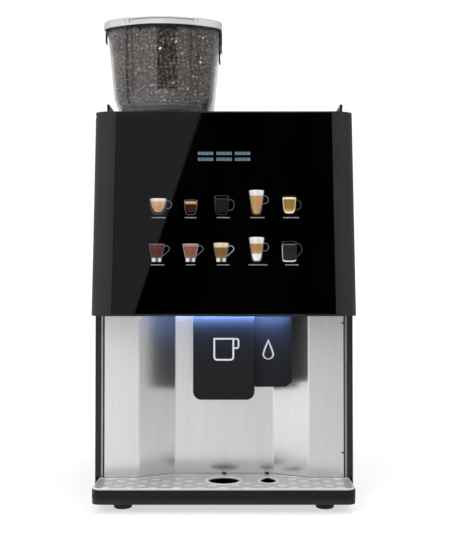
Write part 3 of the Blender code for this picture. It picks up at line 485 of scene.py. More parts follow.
# name, colour, roughness range, grain depth, grain scale, specular level, edge wear
MOULDED = (
    ("black_coat", (0.0125, 0.0125, 0.0126), (0.46, 0.52), 0.22, 1300, 0.30, 0.12),
    ("charcoal_moulding", (0.0125, 0.0125, 0.0127), (0.40, 0.52), 0.20, 1900, 0.32, 0.12),
    ("satin_black_moulding", (0.0050, 0.0050, 0.0051), (0.38, 0.48), 0.10, 2200, 0.22, 0.12),
    ("inner_black_moulding", (0.014, 0.014, 0.0143), (0.45, 0.6), 0.15, 1500, 0.4, 0.1),
    ("black_rubber", (0.016, 0.016, 0.016), (0.6, 0.78), 0.3, 900, 0.35, 0.3),
    ("food_plastic", (0.07, 0.067, 0.062), (0.38, 0.5), 0.1, 1200, 0.5, 0.15),
    ("ivory_moulding", (0.62, 0.60, 0.55), (0.35, 0.48), 0.08, 1200, 0.5, 0.1),
    ("motor_enamel", (0.055, 0.056, 0.06), (0.35, 0.5), 0.15, 700, 0.5, 0.4),
    ("circuit_board_green", (0.012, 0.07, 0.03), (0.3, 0.42), 0.05, 600, 0.5, 0.1),
    ("chip_black", (0.014, 0.014, 0.015), (0.42, 0.52), 0.1, 2000, 0.4, 0.1),
    ("deep_bean_shadow", (0.008, 0.0045, 0.003), (0.5, 0.6), 0.6, 160, 0.2, 0.0),
    ("milk_powder", (0.72, 0.67, 0.56), (0.8, 0.95), 0.6, 500, 0.1, 0.0),
    ("chocolate_powder", (0.13, 0.060, 0.032), (0.8, 0.95), 0.6, 500, 0.1, 0.0),
    ("black_wire", (0.012, 0.012, 0.012), (0.4, 0.5), 0.05, 900, 0.4, 0.0),
    ("brown_wire", (0.12, 0.045, 0.02), (0.4, 0.5), 0.05, 900, 0.4, 0.0),
    ("blue_wire", (0.02, 0.07, 0.26), (0.4, 0.5), 0.05, 900, 0.4, 0.0),
    ("green_wire", (0.07, 0.22, 0.04), (0.4, 0.5), 0.05, 900, 0.4, 0.0),
)
# name, colour, roughness range, stretch, anisotropy, line depth, streak contrast, metallic
ALONG_X, ALONG_Z = (0.012, 1, 1), (1, 1, 0.010)
BRUSHED = (
    ("upright_brushed_steel", (0.755, 0.755, 0.757), (0.19, 0.25), ALONG_Z, 0.4, 0.05, 0.015, 0.93),
    ("grille_steel", (0.61, 0.61, 0.61), (0.26, 0.36), ALONG_X, 0.3, 0.06, 0.03, 0.6),
    ("blank_rating_plate", (0.66, 0.66, 0.665), (0.3, 0.4), ALONG_X, 0.3, 0.04, 0.03, 1.0),
)
# name, colour, roughness range, metallic where it isn't 1
METALS = (
    ("plain_steel", (0.58, 0.58, 0.59), (0.2, 0.38)),
    ("bright_steel", (0.78, 0.78, 0.79), (0.14, 0.26)),
    ("burr_steel", (0.45, 0.45, 0.47), (0.28, 0.42)),
    ("brass", (0.66, 0.46, 0.2), (0.25, 0.4)),
    # the grille's raised pads and beads: a paler steel as painted highlight
    ("worn_bright_steel", (0.93, 0.93, 0.93), (0.30, 0.42), 0.6),
    ("folded_edge_steel", (0.42, 0.42, 0.425), (0.25, 0.35)),
    ("dark_plated_wire", (0.20, 0.20, 0.205), (0.25, 0.38)),
    ("blackened_screw", (0.13, 0.13, 0.135), (0.3, 0.45)),
)
# name, tint, roughness, haze, whiteness at grazing angles, refractive index where it isn't 1.45
CLEARS = (
    ("milky_silicone", (0.86, 0.85, 0.82), 0.3, 0.72, 0.25),
    ("milky_canister", (0.86, 0.86, 0.83), 0.25, 0.20, 0.35),
    ("clear_moulding", (0.70, 0.70, 0.71), 0.02, 0.012, 0.40, 1.68),
    ("smoked_rib", (0.045, 0.042, 0.040), 0.06, 0.62, 0.3),
)
for make, rows in ((moulded, MOULDED), (brushed, BRUSHED), (metal, METALS), (clear, CLEARS)):
    for row in rows:
        make(*row)


# ------------------------------------------------------------------ single materials
def zinc_sheet():
    """Zinc-coated sheet with its pale crystal pattern."""
    tree, shader = principled("zinc_plated_sheet")
    place = coords(tree)
    cells = node(tree, "TexVoronoi", {"Scale": 95, "Vector": place})
    grey = node(tree, "RGBToBW", {0: cells.outputs["Color"]}).outputs[0]
    swell = noise(tree, place, scale=60, detail=4)
    plug(tree, shader, {
        "Base Color": mix_colour(tree, grey, (0.42, 0.43, 0.45), (0.62, 0.63, 0.65)),
        "Roughness": remap(tree, grey, to=(0.32, 0.5), span=(0, 1)),
        "Metallic": 0.9,
        "Normal": bump(tree, swell, strength=0.08, distance=0.0004),
    })


def blue_light_bar():
    tree, shader = principled("blue_light_bar")
    blue = (0.22, 0.42, 1.0)
    mottle = remap(tree, noise(tree, coords(tree), scale=120, detail=2), to=(0, 0.25))
    tone = mix_colour(tree, mottle, blue, [c * 0.8 for c in blue])
    plug(tree, shader, {
        "Base Color": tone, "Emission Color": tone, "Emission Strength": 1.1, "Roughness": 0.4,
    })


def black_glass():
    """Black-backed glass: deep gloss, barely visible wiping streaks."""
    tree, shader = principled("black_backed_glass")
    streak = noise(tree, coords(tree, (1, 1, 0.25), rotation=(0, 0.5, 0)), scale=22, detail=5)
    dust = noise(tree, coords(tree), scale=420, detail=2)
    streaks = remap(tree, streak, to=(0.012, 0.03))
    specks = remap(tree, dust, to=(0.0, 0.006))
    plug(tree, shader, {
        "Base Color": mix_colour(
            tree, remap(tree, streak), (0.0, 0.0, 0.0), (0.0006, 0.0006, 0.0007)
        ),
        "Roughness": calc(tree, "ADD", streaks, specks),
        "IOR": 1.5,
    })


def roasted_bean():
    """Browns that change from bean to bean, with painted shade on the lowest beans, an oily sheen
    and a fine skin texture.
    """
    tree, shader = principled("roasted_bean")
    roast_and_shade = node(tree, "Attribute", attribute_name="roast_and_shade").outputs["Fac"]
    brown = colour_ramp(tree, roast_and_shade, [
        (0.0, (0.012, 0.0055, 0.0032)), (0.6, (0.100, 0.058, 0.036)), (1.0, (0.24, 0.14, 0.070)),
    ])
    skin = noise(tree, coords(tree), scale=700, detail=4)
    plug(tree, shader, {
        "Base Color": mix_colour(tree, remap(tree, skin, to=(0, 0.5)), brown, (0.02, 0.009, 0.005)),
        "Roughness": remap(tree, skin, to=(0.2, 0.36)),
        "Specular IOR Level": 0.8,
        "Coat Weight": 0.6,
        "Coat Roughness": 0.12,
        "Normal": bump(tree, skin, strength=0.3, distance=0.0002),
    })


def frosted_lid():
    """Cloudy silver-white plastic with a satin top, with painted shade along its top edge and where
    it is seen at grazing angles.
    """
    tree, shader = principled("frosted_lid")
    place = coords(tree)
    cloud = noise(tree, place, scale=25, detail=4)
    facing = node(tree, "LayerWeight", {"Blend": 0.5}).outputs["Facing"]
    height = split_axes(tree, node(tree, "TexCoord").outputs["Object"])["Z"]
    # painted shade: a dark band along the lid's top edge
    top_edge_painted_shade = remap(tree, height, span=(0.7262, 0.7268))
    speck = remap(tree, noise(tree, place, scale=900, detail=2), to=(0, 0.25))
    tone = mix_colour(tree, remap(tree, cloud), (0.47, 0.472, 0.474), (0.54, 0.542, 0.544))
    tone = mix_colour(tree, speck, tone, (0.33, 0.334, 0.338))
    # painted shade: darker where the surface is seen at a grazing angle
    tone = mix_colour(tree, facing, tone, (0.27, 0.272, 0.274))
    fine = noise(tree, place, scale=1400, detail=2)
    plug(tree, shader, {
        "Base Color": mix_colour(tree, top_edge_painted_shade, tone, (0.13, 0.134, 0.138)),
        "Roughness": remap(tree, cloud, to=(0.22, 0.34)),
        "Alpha": calc(tree, "MULTIPLY_ADD", facing, 0.15, 0.88),
        "Normal": bump(tree, fine, strength=0.08, distance=0.0001),
    })


def white_print():
    tree, shader = principled("white_print")
    mottle = remap(tree, noise(tree, coords(tree), scale=600, detail=2))
    plug(tree, shader, {
        "Base Color": mix_colour(tree, mottle, (0.46, 0.46, 0.475), (0.52, 0.52, 0.535)),
        # painted glow: a faint bluish emission on the white print
        "Emission Color": (0.9, 0.92, 1.0),
        "Emission Strength": 0.03,
        "Roughness": 0.35,
    })


for make in (zinc_sheet, blue_light_bar, black_glass, roasted_bean, frosted_lid, white_print):
    make()


# ------------------------------------------------------------------ bean hopper
HOPPER_X, HOPPER_Y = -0.093, -0.143  # its middle
HOPPER_WALL = 0.0032
HOPPER_CORNER = 0.016
INNER_CORNER = HOPPER_CORNER - HOPPER_WALL
GROOVE = 0.0024  # depth of the upright channels in the front and back walls
BOW_LOSS = 0.0014  # the inside of the wall is bowed this much less


def mirrored(right):
    return [-m for m in reversed(right)] + [0, *right]


HOPPER_MARKS = mirrored([0.013, 0.026, 0.0420, 0.0440, 0.0462, 0.0530, 0.0550, 0.0572])
LID_MARKS = mirrored([
    0.0125, 0.025, 0.0380, 0.0480, 0.0492, 0.0512, 0.0528, 0.0536, 0.0548, 0.0556, 0.0575,
])


def bow_at(u, v, half_x, half_y, bow):
    """How far back the bowed front is at a point: nothing in the middle, most at the sides."""
    return bow * ((u - HOPPER_X) / half_x) ** 2 * max(0.0, (HOPPER_Y - v) / half_y)


def hopper_ring(half_x, half_y, radius, z, bow, groove=0.0):
    """A rounded square with a bowed front and, where groove is set, channels front and back."""
    flat = rounded(
        HOPPER_X - half_x, HOPPER_X + half_x, HOPPER_Y - half_y, HOPPER_Y + half_y, radius
    )
    scale = min(1.0, (half_x - radius) / 0.0600)
    front = [(HOPPER_X + m * scale, HOPPER_Y - half_y) for m in HOPPER_MARKS]
    back = [(HOPPER_X - m * scale, HOPPER_Y + half_y) for m in HOPPER_MARKS]
    # a corner has nine points: the front run follows the first, the back run the third
    ring = flat[:9] + front + flat[9:27] + back + flat[27:]
    out = []
    for i, (u, v) in enumerate(ring):
        depth = 0.0
        for start, sign in ((9, 1), (27 + len(HOPPER_MARKS), -1)):
            k = i - start
            if 0 <= k < len(HOPPER_MARKS) and 0.043 < abs(HOPPER_MARKS[k]) < 0.054:
                depth = groove * sign
        out.append((u, v + depth + bow_at(u, v, half_x, half_y, bow), z))
    return out


# outside of the hopper from the foot up: half width, half depth, height, bow, share of groove
HOPPER_LEVELS = (
    (0.0680, 0.0680, 0.5906, 0.018, 0.0), (0.0690, 0.0686, 0.5950, 0.0184, 0.0),
    (0.0712, 0.0704, 0.6010, 0.0197, 0.5), (0.0735, 0.0722, 0.6075, 0.021, 1.0),
    (0.0755, 0.0740, 0.6140, 0.022, 1.0), (0.0790, 0.0779, 0.6520, 0.0240, 1.0),
    (0.0822, 0.0814, 0.6880, 0.0258, 1.0), (0.0844, 0.0838, 0.7130, 0.027, 1.0),
    (0.0848, 0.0843, 0.7222, 0.027, 1.0),
)
HOPPER_BRIM = 0.7230
# floor, first its top towards the middle, then its underside outwards: half size, height, bow
HOPPER_FLOOR = (
    (0.0605, 0.0600, 0.6035, 0.0150), (0.045, 0.045, 0.6066, 0.008), (0.031, 0.031, 0.6066, 0.0),
    (0.031, 0.031, 0.6046, 0.0), (0.0580, 0.0580, 0.6042, 0.0150),
    (0.0645, 0.0645, 0.5965, 0.0170), (0.0648, 0.0648, 0.5906, 0.0170),
)


def build_hopper():
    outer = [
        hopper_ring(half_x, half_y, HOPPER_CORNER, z, bow, GROOVE * share)
        for half_x, half_y, z, bow, share in HOPPER_LEVELS
    ]
    outer.append(hopper_ring(0.0843, 0.0838, 0.0155, HOPPER_BRIM, 0.0267, GROOVE))
    inner = [hopper_ring(0.0665, 0.0665, INNER_CORNER, 0.5990, 0.0184)]
    for half_x, half_y, z, bow, share in HOPPER_LEVELS[3:]:
        inner.append(hopper_ring(
            half_x - HOPPER_WALL, half_y - HOPPER_WALL, INNER_CORNER, z, bow - BOW_LOSS,
            GROOVE * share,
        ))
    top_x, top_y, _, top_bow, _ = HOPPER_LEVELS[-1]
    lip = HOPPER_WALL - 0.0005
    inner.append(hopper_ring(
        top_x - lip, top_y - lip, INNER_CORNER, HOPPER_BRIM, top_bow - BOW_LOSS, GROOVE
    ))
    floor = [hopper_ring(hx, hy, INNER_CORNER, z, bow) for hx, hy, z, bow in HOPPER_FLOOR]
    hopper = skin_object(
        "bean_hopper_shell", [outer + inner[::-1] + floor], "clear_moulding", "cabinet",
        28, closed=True,
    )
    gate_slot = (
        HOPPER_X - 0.0335, HOPPER_X + 0.0335, HOPPER_Y + 0.050, HOPPER_Y + 0.110, 0.5880, 0.6031
    )
    cut_box(hopper, gate_slot, "clear_moulding")
    bevel(hopper, 0.0005, angle=50)
    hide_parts("hopper_body")


build_hopper()

# ------------------------------------------------------------------ coffee beans
BEAN_HALF = (0.0044, 0.0033, 0.0030)  # half length, half width, half height
SLOPE_FOOT = 0.614  # above this height the hopper's wall widens evenly


def wall_at(t):
    """Half width, half depth and bow of the sloping wall, from its foot (0) to its top (1)."""
    return 0.0755 + t * 0.0089, 0.0740 + t * 0.0098, 0.022 + t * 0.005


def bean_mesh():
    """One bean: a domed back, a flatter face and the crease down the middle of it."""
    ball = bmesh.new()
    bmesh.ops.create_uvsphere(ball, u_segments=10, v_segments=7, radius=1.0)
    points = []
    for vert in ball.verts:
        x, y, z = vert.co
        if z < 0:
            z *= 0.42
            z += 0.30 * math.exp(-((y / 0.22) ** 2)) * (1 - 0.55 * abs(x))
        points.append((x * BEAN_HALF[0], y * BEAN_HALF[1], z * BEAN_HALF[2]))
    faces = [[vert.index for vert in face.verts] for face in ball.faces]
    ball.free()
    return points, faces


def wall_points(z, inset, spacing):
    """Points spaced evenly round the inside of the hopper at a height."""
    if z >= SLOPE_FOOT:
        half_x, half_y, bow = wall_at(min(1.0, (z - SLOPE_FOOT) / (0.711 - SLOPE_FOOT)))
    else:
        t = (z - 0.5990) / 0.015
        half_x, half_y, bow = 0.0655 + t * 0.010, 0.0665 + t * 0.0075, 0.0187 + t * 0.0033
    ring = hopper_ring(half_x - inset, half_y - inset, 0.010, z, bow - inset * 0.4)
    run = [0.0]
    for a, b in zip(ring, ring[1:] + ring[:1]):
        run.append(run[-1] + math.dist(a[:2], b[:2]))
    count = int(run[-1] / spacing)
    out = []
    for i in range(count):
        want = run[-1] * (i + rng.random() * 0.35) / count
        k = next(n for n in range(len(ring)) if run[n + 1] >= want)
        share = (want - run[k]) / max(1e-9, run[k + 1] - run[k])
        a, b = ring[k], ring[(k + 1) % len(ring)]
        out.append((a[0] + (b[0] - a[0]) * share, a[1] + (b[1] - a[1]) * share))
    return out


def jitter(spread):
    return rng.uniform(-spread, spread)


one_bean, one_bean_faces = bean_mesh()
bean_points, bean_faces, bean_roast_and_shade = [], [], []


def drop_bean(x, y, z):
    """Add a turned bean, unless it would lie in the gate's slot."""
    if z < 0.6095 and y > HOPPER_Y + 0.040 and abs(x - HOPPER_X) < 0.042:
        return
    turn = Matrix.Identity(3)
    for axis in "ZXY":
        turn = turn @ Matrix.Rotation(rng.uniform(0, 6.283), 3, axis)
    size = rng.uniform(0.9, 1.12)
    start = len(bean_points)
    for p in one_bean:
        q = turn @ Vector(p) * size
        bean_points.append((q.x + x, q.y + y, q.z + z))
    bean_faces.extend([[start + i for i in face] for face in one_bean_faces])
    roast_and_shade = min(1.0, max(0.0, rng.gauss(0.5, 0.17)))
    if rng.random() < 0.03:  # now and then a pale one
        roast_and_shade = min(0.94, roast_and_shade + 0.3)
    if z < 0.6125:  # painted shade: the lowest beans are made much darker
        roast_and_shade *= 0.3
    bean_roast_and_shade.extend([roast_and_shade] * len(one_bean))


def fill_hopper():
    """Two shells of beans up the wall, then a heaped layer on top."""
    level = 0.6066
    while level < 0.7135:
        for x, y in wall_points(level, inset=0.0076, spacing=0.0066):
            drop_bean(x + jitter(0.001), y + jitter(0.001), level + jitter(0.0018))
        if level < 0.707:
            for x, y in wall_points(level + 0.003, inset=0.0132, spacing=0.0078):
                drop_bean(x + jitter(0.0015), y + jitter(0.0015), level + 0.003 + jitter(0.002))
        level += 0.0054
    pitch = 0.0074
    for i in range(-9, 10):
        for j in range(-9, 10):
            x = HOPPER_X + i * pitch + jitter(0.0015)
            y = HOPPER_Y + j * pitch + jitter(0.0015)
            from_x, from_y = x - HOPPER_X, y - HOPPER_Y
            front = HOPPER_Y - 0.0735 + 0.026 * (from_x / 0.083) ** 2
            if abs(from_x) < 0.071 and front < y < HOPPER_Y + 0.0715:
                heap = 0.0035 * math.cos(from_x * 19) * math.cos(from_y * 19)
                drop_bean(x, y, 0.7110 + heap + rng.uniform(-0.001, 0.0015))


fill_hopper()
mesh = bpy.data.meshes.new("roasted_beans")
mesh.from_pydata(bean_points, [], bean_faces)
mesh.shade_smooth()
mesh.attributes.new("roast_and_shade", "FLOAT", "POINT").data.foreach_set("value", bean_roast_and_shade)
beans = link_object("roasted_beans", mesh, "roasted_bean", "cabinet")
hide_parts("coffee_beans")

# dark core inside the beans, coloured as painted shade deep in the bed: half width, half depth,
# height, bow
CORE_LEVELS = (
    (0.050, 0.050, 0.6085, 0.014), (0.0600, 0.0590, 0.6125, 0.017), (0.0645, 0.0635, 0.640, 0.019),
    (0.0690, 0.0685, 0.690, 0.021), (0.0690, 0.0685, 0.7075, 0.021), (0.050, 0.050, 0.7100, 0.014),
)
core_rings = [hopper_ring(hx, hy, 0.009, z, bow) for hx, hy, z, bow in CORE_LEVELS]
skin_object("bean_bed_core", [core_rings], "deep_bean_shadow", "cabinet", 40)

# ------------------------------------------------------------------ hopper lid
LID_HALF_X, LID_HALF_Y = 0.09025, 0.092
LID_LIFT = 0.0033  # added to the heights of LID_LEVELS


def lid_ring(inset, z, radius, bow, dip=0.0, sag=0.0):
    """A ring of the lid; dip pushes the front's middle back and sag lowers it, for the grip."""
    half_x, half_y = LID_HALF_X - inset, LID_HALF_Y - inset
    flat = rounded(
        HOPPER_X - half_x, HOPPER_X + half_x, HOPPER_Y - half_y, HOPPER_Y + half_y, radius
    )
    scale = min(1.0, (half_x - radius) / 0.0600)
    front = [(HOPPER_X + m * scale, HOPPER_Y - half_y) for m in LID_MARKS]
    out = []
    for i, (u, v) in enumerate(flat[:9] + front + flat[9:]):
        k = i - 9
        back = up = 0.0
        if 0 <= k < len(LID_MARKS):
            mark = abs(LID_MARKS[k])
            if mark <= 0.0485:
                back, up = dip, -sag
            elif 0.0532 < mark < 0.0550:
                back = dip * 0.3
        # the lid narrows a little towards the back
        draft = 1.0 - 0.018 * max(0.0, (v - HOPPER_Y + half_y) / (2 * half_y)) ** 0.6
        out.append((
            HOPPER_X + (u - HOPPER_X) * draft,
            v + back + bow_at(u, v, half_x, half_y, bow),
            z + up,
        ))
    return out


# from inside the skirt, round its foot and up over the top:
# inset, height, corner radius, bow, grip dip, grip sag
LID_LEVELS = (
    (0.0026, 0.7205, 0.0104, 0.029), (0.0024, 0.7126, 0.0106, 0.029),
    (0.0005, 0.7124, 0.0128, 0.030), (0.0, 0.7130, 0.013, 0.030), (0.0, 0.7152, 0.013, 0.030),
    (0.0001, 0.7156, 0.013, 0.030, 0.0034), (0.0002, 0.7205, 0.013, 0.030, 0.0040, 0.0003),
    (0.0002, 0.7214, 0.013, 0.030, 0.0040, 0.0004),
    (0.0003, 0.7222, 0.0130, 0.030, 0.0012, 0.0004),
    (0.0009, 0.7236, 0.0125, 0.0295, 0.0010, 0.0009),
    (0.0030, 0.7246, 0.011, 0.029, 0.0006, 0.0008), (0.010, 0.7250, 0.011, 0.026),
    (0.020, 0.7252, 0.011, 0.022), (0.0215, 0.7259, 0.0105, 0.0215), (0.050, 0.7261, 0.010, 0.010),
)
lid_rings = [lid_ring(inset, z + LID_LIFT, *more) for inset, z, *more in LID_LEVELS]
lid = skin_object("bean_hopper_lid", [lid_rings], "frosted_lid", "lid", 26)
bevel(lid, 0.0004)
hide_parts("hopper_lid")

for side, tag in ((-1, "left"), (1, "right")):
    bm = bmesh.new()
    x = HOPPER_X + side * 0.0888
    foot_x = x - side * 0.0003
    add_box(bm, x - 0.0006, x + 0.0006, HOPPER_Y - 0.041, HOPPER_Y - 0.027, 0.7005, 0.7180)
    add_box(
        bm, foot_x - 0.0008, foot_x + 0.0008, HOPPER_Y - 0.040, HOPPER_Y - 0.028, 0.7002, 0.7022
    )
    bmesh.ops.bevel(bm, geom=bm.edges[:], offset=0.0004, segments=2, affect="EDGES")
    mesh_object("lid_side_hook_" + tag, bm, "satin_black_moulding", "lid", 40)

# inset, height, corner radius, bow
SEAL_SECTION = (
    (0.0032, 0.7150, 0.0098, 0.0287), (0.0032, 0.7180, 0.0098, 0.0287),
    (0.0046, 0.7180, 0.0092, 0.0283), (0.0046, 0.7150, 0.0092, 0.0283),
)
seal_rings = [lid_ring(*row) for row in SEAL_SECTION]
skin_object("lid_seal", [seal_rings], "black_rubber", "lid", 40, closed=True)

# ------------------------------------------------------------------ hopper ribs and latch
# thin darker lines up the front and the back wall: place across, radius
RIBS = ((-0.0537, 0.00062), (-0.0447, 0.00085), (0.0437, 0.00085), (0.0545, 0.00062))
RIB_LOW, RIB_HIGH = 0.6135, 0.7150


def hopper_rib(k, across, radius, side, tag):
    line = []
    for step in range(15):
        z = RIB_LOW + (RIB_HIGH - RIB_LOW) * step / 14
        half_x, half_y, bow = wall_at((z - SLOPE_FOOT) / (0.713 - SLOPE_FOOT))
        back = bow * (across / half_x) ** 2 if side < 0 else 0.0
        line.append((HOPPER_X + across, HOPPER_Y + side * (half_y + 0.0002) + back, z))
    name = "hopper_rib_%d_%s" % (k, tag)
    tube(name, line, radius, "smoked_rib", "cabinet", sides=10)


for k, (across, radius) in enumerate(RIBS):
    hopper_rib(k, across, radius, -1, "front")
    hopper_rib(k, across, radius, 1, "back")

# latch at the hopper's right side, seen from the front: x, z in mm
LATCH_OUTLINE = (
    (-6.5, 713.2), (-6.8, 711.0), (-7.2, 706.0), (-8.8, 691.0), (-9.0, 684.0), (-8.5, 679.6),
    (-5.9, 677.4), (-6.8, 684.0), (-6.8, 691.0), (-5.7, 706.0), (-5.6, 713.2), (-6.0, 713.6),
)
latch_rings = [
    [(u / 1000, HOPPER_Y + side * 0.008, v / 1000) for u, v in LATCH_OUTLINE] for side in (-1, 1)
]
latch = skin_object(
    "hopper_lid_latch", [latch_rings], "satin_black_moulding", "latch", 30
)
bevel(latch, 0.0003)
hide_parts("lid_latch")

# ------------------------------------------------------------------ prints behind the glass
# Drawn in mm on the glass: x across, s up the slope from its foot.
LEAN = math.atan2(0.052, 0.3065)
GLASS_FOOT_Y, GLASS_FOOT_Z = -0.262, 0.283
GLASS_PLANE = Matrix((
    (1, 0, 0, 0),
    (0, math.sin(LEAN), -math.cos(LEAN), GLASS_FOOT_Y),
    (0, math.cos(LEAN), math.sin(LEAN), GLASS_FOOT_Z),
    (0, 0, 0, 1),
))
ART_LOW, ART_HIGH = -0.00028, -0.00008  # depth of a print along the glass's outward direction
LEVEL_STEP = 0.00003  # how much nearer each level of print lies


def lit(name, stops, side=None, span=None):
    """A backlit print; gives its name.

    stops are (s, colour) from low to high; side shades it across the x span."""
    tree, shader = principled(name)
    axes = split_axes(tree, node(tree, "TexCoord").outputs["Object"])
    low, high = stops[0][0], stops[-1][0]
    heights = [GLASS_FOOT_Z + s * MM * math.cos(LEAN) for s in (low, high)]
    places = [((s - low) / (high - low), colour) for s, colour in stops]
    colour = colour_ramp(tree, remap(tree, axes["Z"], span=heights), places)
    if side:
        across = remap(tree, axes["X"], span=(span[0] * MM, span[1] * MM))
        shade = colour_ramp(tree, across, side)
        colour = mix_colour(tree, 1.0, colour, shade, blend_type="MULTIPLY")
    gloss = noise(tree, coords(tree), scale=300, detail=2)
    plug(tree, shader, {
        "Base Color": (0.004, 0.004, 0.004),
        "Emission Color": colour,
        "Emission Strength": 1.0,
        "Roughness": remap(tree, gloss, to=(0.05, 0.1)),
    })
    return name


def vessel(centre, low, high, foot_half, brim_half, foot_part, crown, bend):
    """A cup's outline from the front: rounded over its foot part, arched by crown at the brim."""
    right = []
    for i in range(11):
        t = (i / 10) ** 1.6
        half = foot_half + (brim_half - foot_half) * t**bend
        if t < foot_part:
            q = 1 - t / foot_part
            half *= 0.55 + 0.45 * math.sqrt(max(0.0, 1 - q * q))
        right.append((half, low + (high - low) * t))
    arch = [math.pi * k / 10 for k in range(1, 10)] if crown else []
    loop = [(centre + half, s) for half, s in right]
    loop += [(centre + brim_half * math.cos(a), high + crown * math.sin(a)) for a in arch]
    loop += [(centre - half, s) for half, s in right[::-1]]
    return [(u * MM, s * MM) for u, s in loop]


def stroke(points, width, corner):
    """The closed outline of a line of some width drawn through points in mm."""
    path = softened([Vector(p) * MM for p in points], corner * MM, 0.49, 6)
    half = width * MM / 2
    left, right = [], []
    for i, p in enumerate(path):
        along = (path[min(i + 1, len(path) - 1)] - path[max(i - 1, 0)]).normalized()
        left.append((p.x - along.y * half, p.y + along.x * half))
        right.append((p.x + along.y * half, p.y - along.x * half))
    return [left + right[::-1]]


def art(name, loops, look, level=0):
    high = ART_HIGH + LEVEL_STEP * level
    sheet("picture_" + name, loops, ART_LOW, high, GLASS_PLANE, look, "door")


# shading across a cup, from its left edge (0) to its right edge (1)
ROUNDED = [(0.0, 0.55), (0.12, 0.8), (0.4, 1.0), (0.62, 0.82), (0.85, 0.95), (1.0, 0.5)]
EVEN = [(0.0, 0.75), (0.2, 1.0), (0.8, 1.0), (1.0, 0.7)]
POLISHED = [
    (0.0, 0.5), (0.14, 1.0), (0.3, 0.95), (0.45, 0.12), (0.62, 0.2), (0.78, 1.0), (1.0, 0.45),
]


# A shape is (centre, low, high, half width at the foot, half width at the brim) in mm.
def cup(name, shape, stops, foot=0.3, crown=1.0, side=EVEN, bend=1.0, level=1):
    centre, brim_half = shape[0], shape[4]
    look = lit("print_" + name, stops, side, (centre - brim_half, centre + brim_half))
    art(name, [vessel(*shape, foot, crown, bend)], look, level)


def outline(name, shape, width, look, foot=0.3, crown=1.0, bend=1.0):
    loop = vessel(*shape, foot, crown, bend)
    art(name, [loop, grown(loop, -width * MM)], look)


def ring_handle(name, centre, middle, half_wide, half_tall, width, look):
    """An open oval band to the right of a cup."""
    def arc(start, turn, inset):
        angles = (math.radians(start + turn * i / 24) for i in range(25))
        return [
            (
                (centre + (half_wide - inset) * math.cos(a)) * MM,
                (middle + (half_tall - inset) * math.sin(a)) * MM,
            )
            for a in angles
        ]

    art(name, [arc(-115, 230, 0) + arc(115, -230, width)], look)


FOAM, CREAM, TAN, AMBER = (
    (0.80, 0.76, 0.72), (0.74, 0.62, 0.42), (0.50, 0.28, 0.13), (0.33, 0.18, 0.045)
)
CHOCOLATE, MOCHA, TEA, ESPRESSO = (
    (0.090, 0.020, 0.014), (0.23, 0.083, 0.058), (0.20, 0.105, 0.028), (0.030, 0.006, 0.004)
)
GREY_LINE = lit("print_grey_line", [(0, (0.10, 0.11, 0.13)), (300, (0.12, 0.13, 0.15))])
DARK_LINE = lit("print_dark_line", [(0, (0.035, 0.035, 0.042)), (300, (0.045, 0.045, 0.05))])
PALE_LINE = lit("print_pale_line", [(0, (0.36, 0.37, 0.38)), (300, (0.40, 0.41, 0.42))])
LABEL = lit("print_label", [(0, 0.42), (300, 0.46)])
CYAN = lit("display_cyan", [(230, (0.34, 0.60, 0.72)), (250, (0.40, 0.66, 0.78))])

# upper row
outline(
    "round_cup_glass", (-96.9, 151.2, 174.5, 8.2, 12.9), width=0.9, look=GREY_LINE,
    foot=0.5, crown=1.2, bend=0.6,
)
cup(
    "round_cup", (-96.9, 154.6, 174.4, 6.0, 11.6),
    [
        (154, (0.62, 0.40, 0.22)), (158, TAN), (167, (0.60, 0.36, 0.19)),
        (170.4, (0.66, 0.44, 0.28)), (171.6, FOAM), (175.6, (0.86, 0.84, 0.82)),
    ],
    foot=0.55, crown=1.3, side=ROUNDED, bend=0.6,
)
ring_handle("round_cup_handle", -82.6, 165.6, 6.0, 6.6, width=1.3, look=GREY_LINE)

outline(
    "small_glass_rim", (-48.8, 150.2, 172.6, 6.8, 9.9), width=0.8, look=GREY_LINE,
    foot=0.35, crown=0.8, bend=0.5,
)
cup(
    "small_glass", (-48.8, 154.0, 170.4, 5.0, 8.9),
    [
        (154, (0.05, 0.010, 0.006)), (160, ESPRESSO), (166.0, (0.035, 0.008, 0.005)),
        (167.2, (0.48, 0.30, 0.09)), (169.0, (0.62, 0.44, 0.19)), (170.6, (0.42, 0.25, 0.07)),
    ],
    foot=0.6, crown=0.8, bend=0.5,
)

outline(
    "dark_mug_rim", (-3.4, 150.2, 179.0, 8.6, 10.8), width=0.9, look=DARK_LINE,
    foot=0.25, bend=0.6,
)
cup(
    "dark_mug", (-3.4, 153.4, 174.8, 6.6, 9.2),
    [
        (153, (0.010, 0.005, 0.006)), (165, (0.014, 0.007, 0.008)), (173.6, (0.010, 0.006, 0.008)),
        (174.3, (0.05, 0.04, 0.04)), (175.6, (0.022, 0.018, 0.02)),
    ],
    foot=0.35, crown=0.9, side=ROUNDED, bend=0.6,
)
ring_handle("dark_mug_handle", 9.2, 165.4, 7.0, 9.2, width=1.8, look=DARK_LINE)

outline(
    "tall_glass_rim", (48.3, 150.2, 186.6, 6.6, 11.3), width=0.7, look=GREY_LINE,
    foot=0.15, crown=0.9,
)
cup(
    "tall_glass", (48.3, 152.4, 187.0, 5.2, 11.0),
    [
        (152, (0.62, 0.40, 0.24)), (156, TAN), (176, (0.50, 0.29, 0.13)),
        (179.2, (0.55, 0.34, 0.18)), (180.2, FOAM), (188.2, (0.90, 0.89, 0.88)),
    ],
    foot=0.22, crown=1.4, side=ROUNDED,
)
ring_handle("tall_glass_handle", 59.4, 173.4, 7.0, 6.6, width=1.3, look=GREY_LINE)

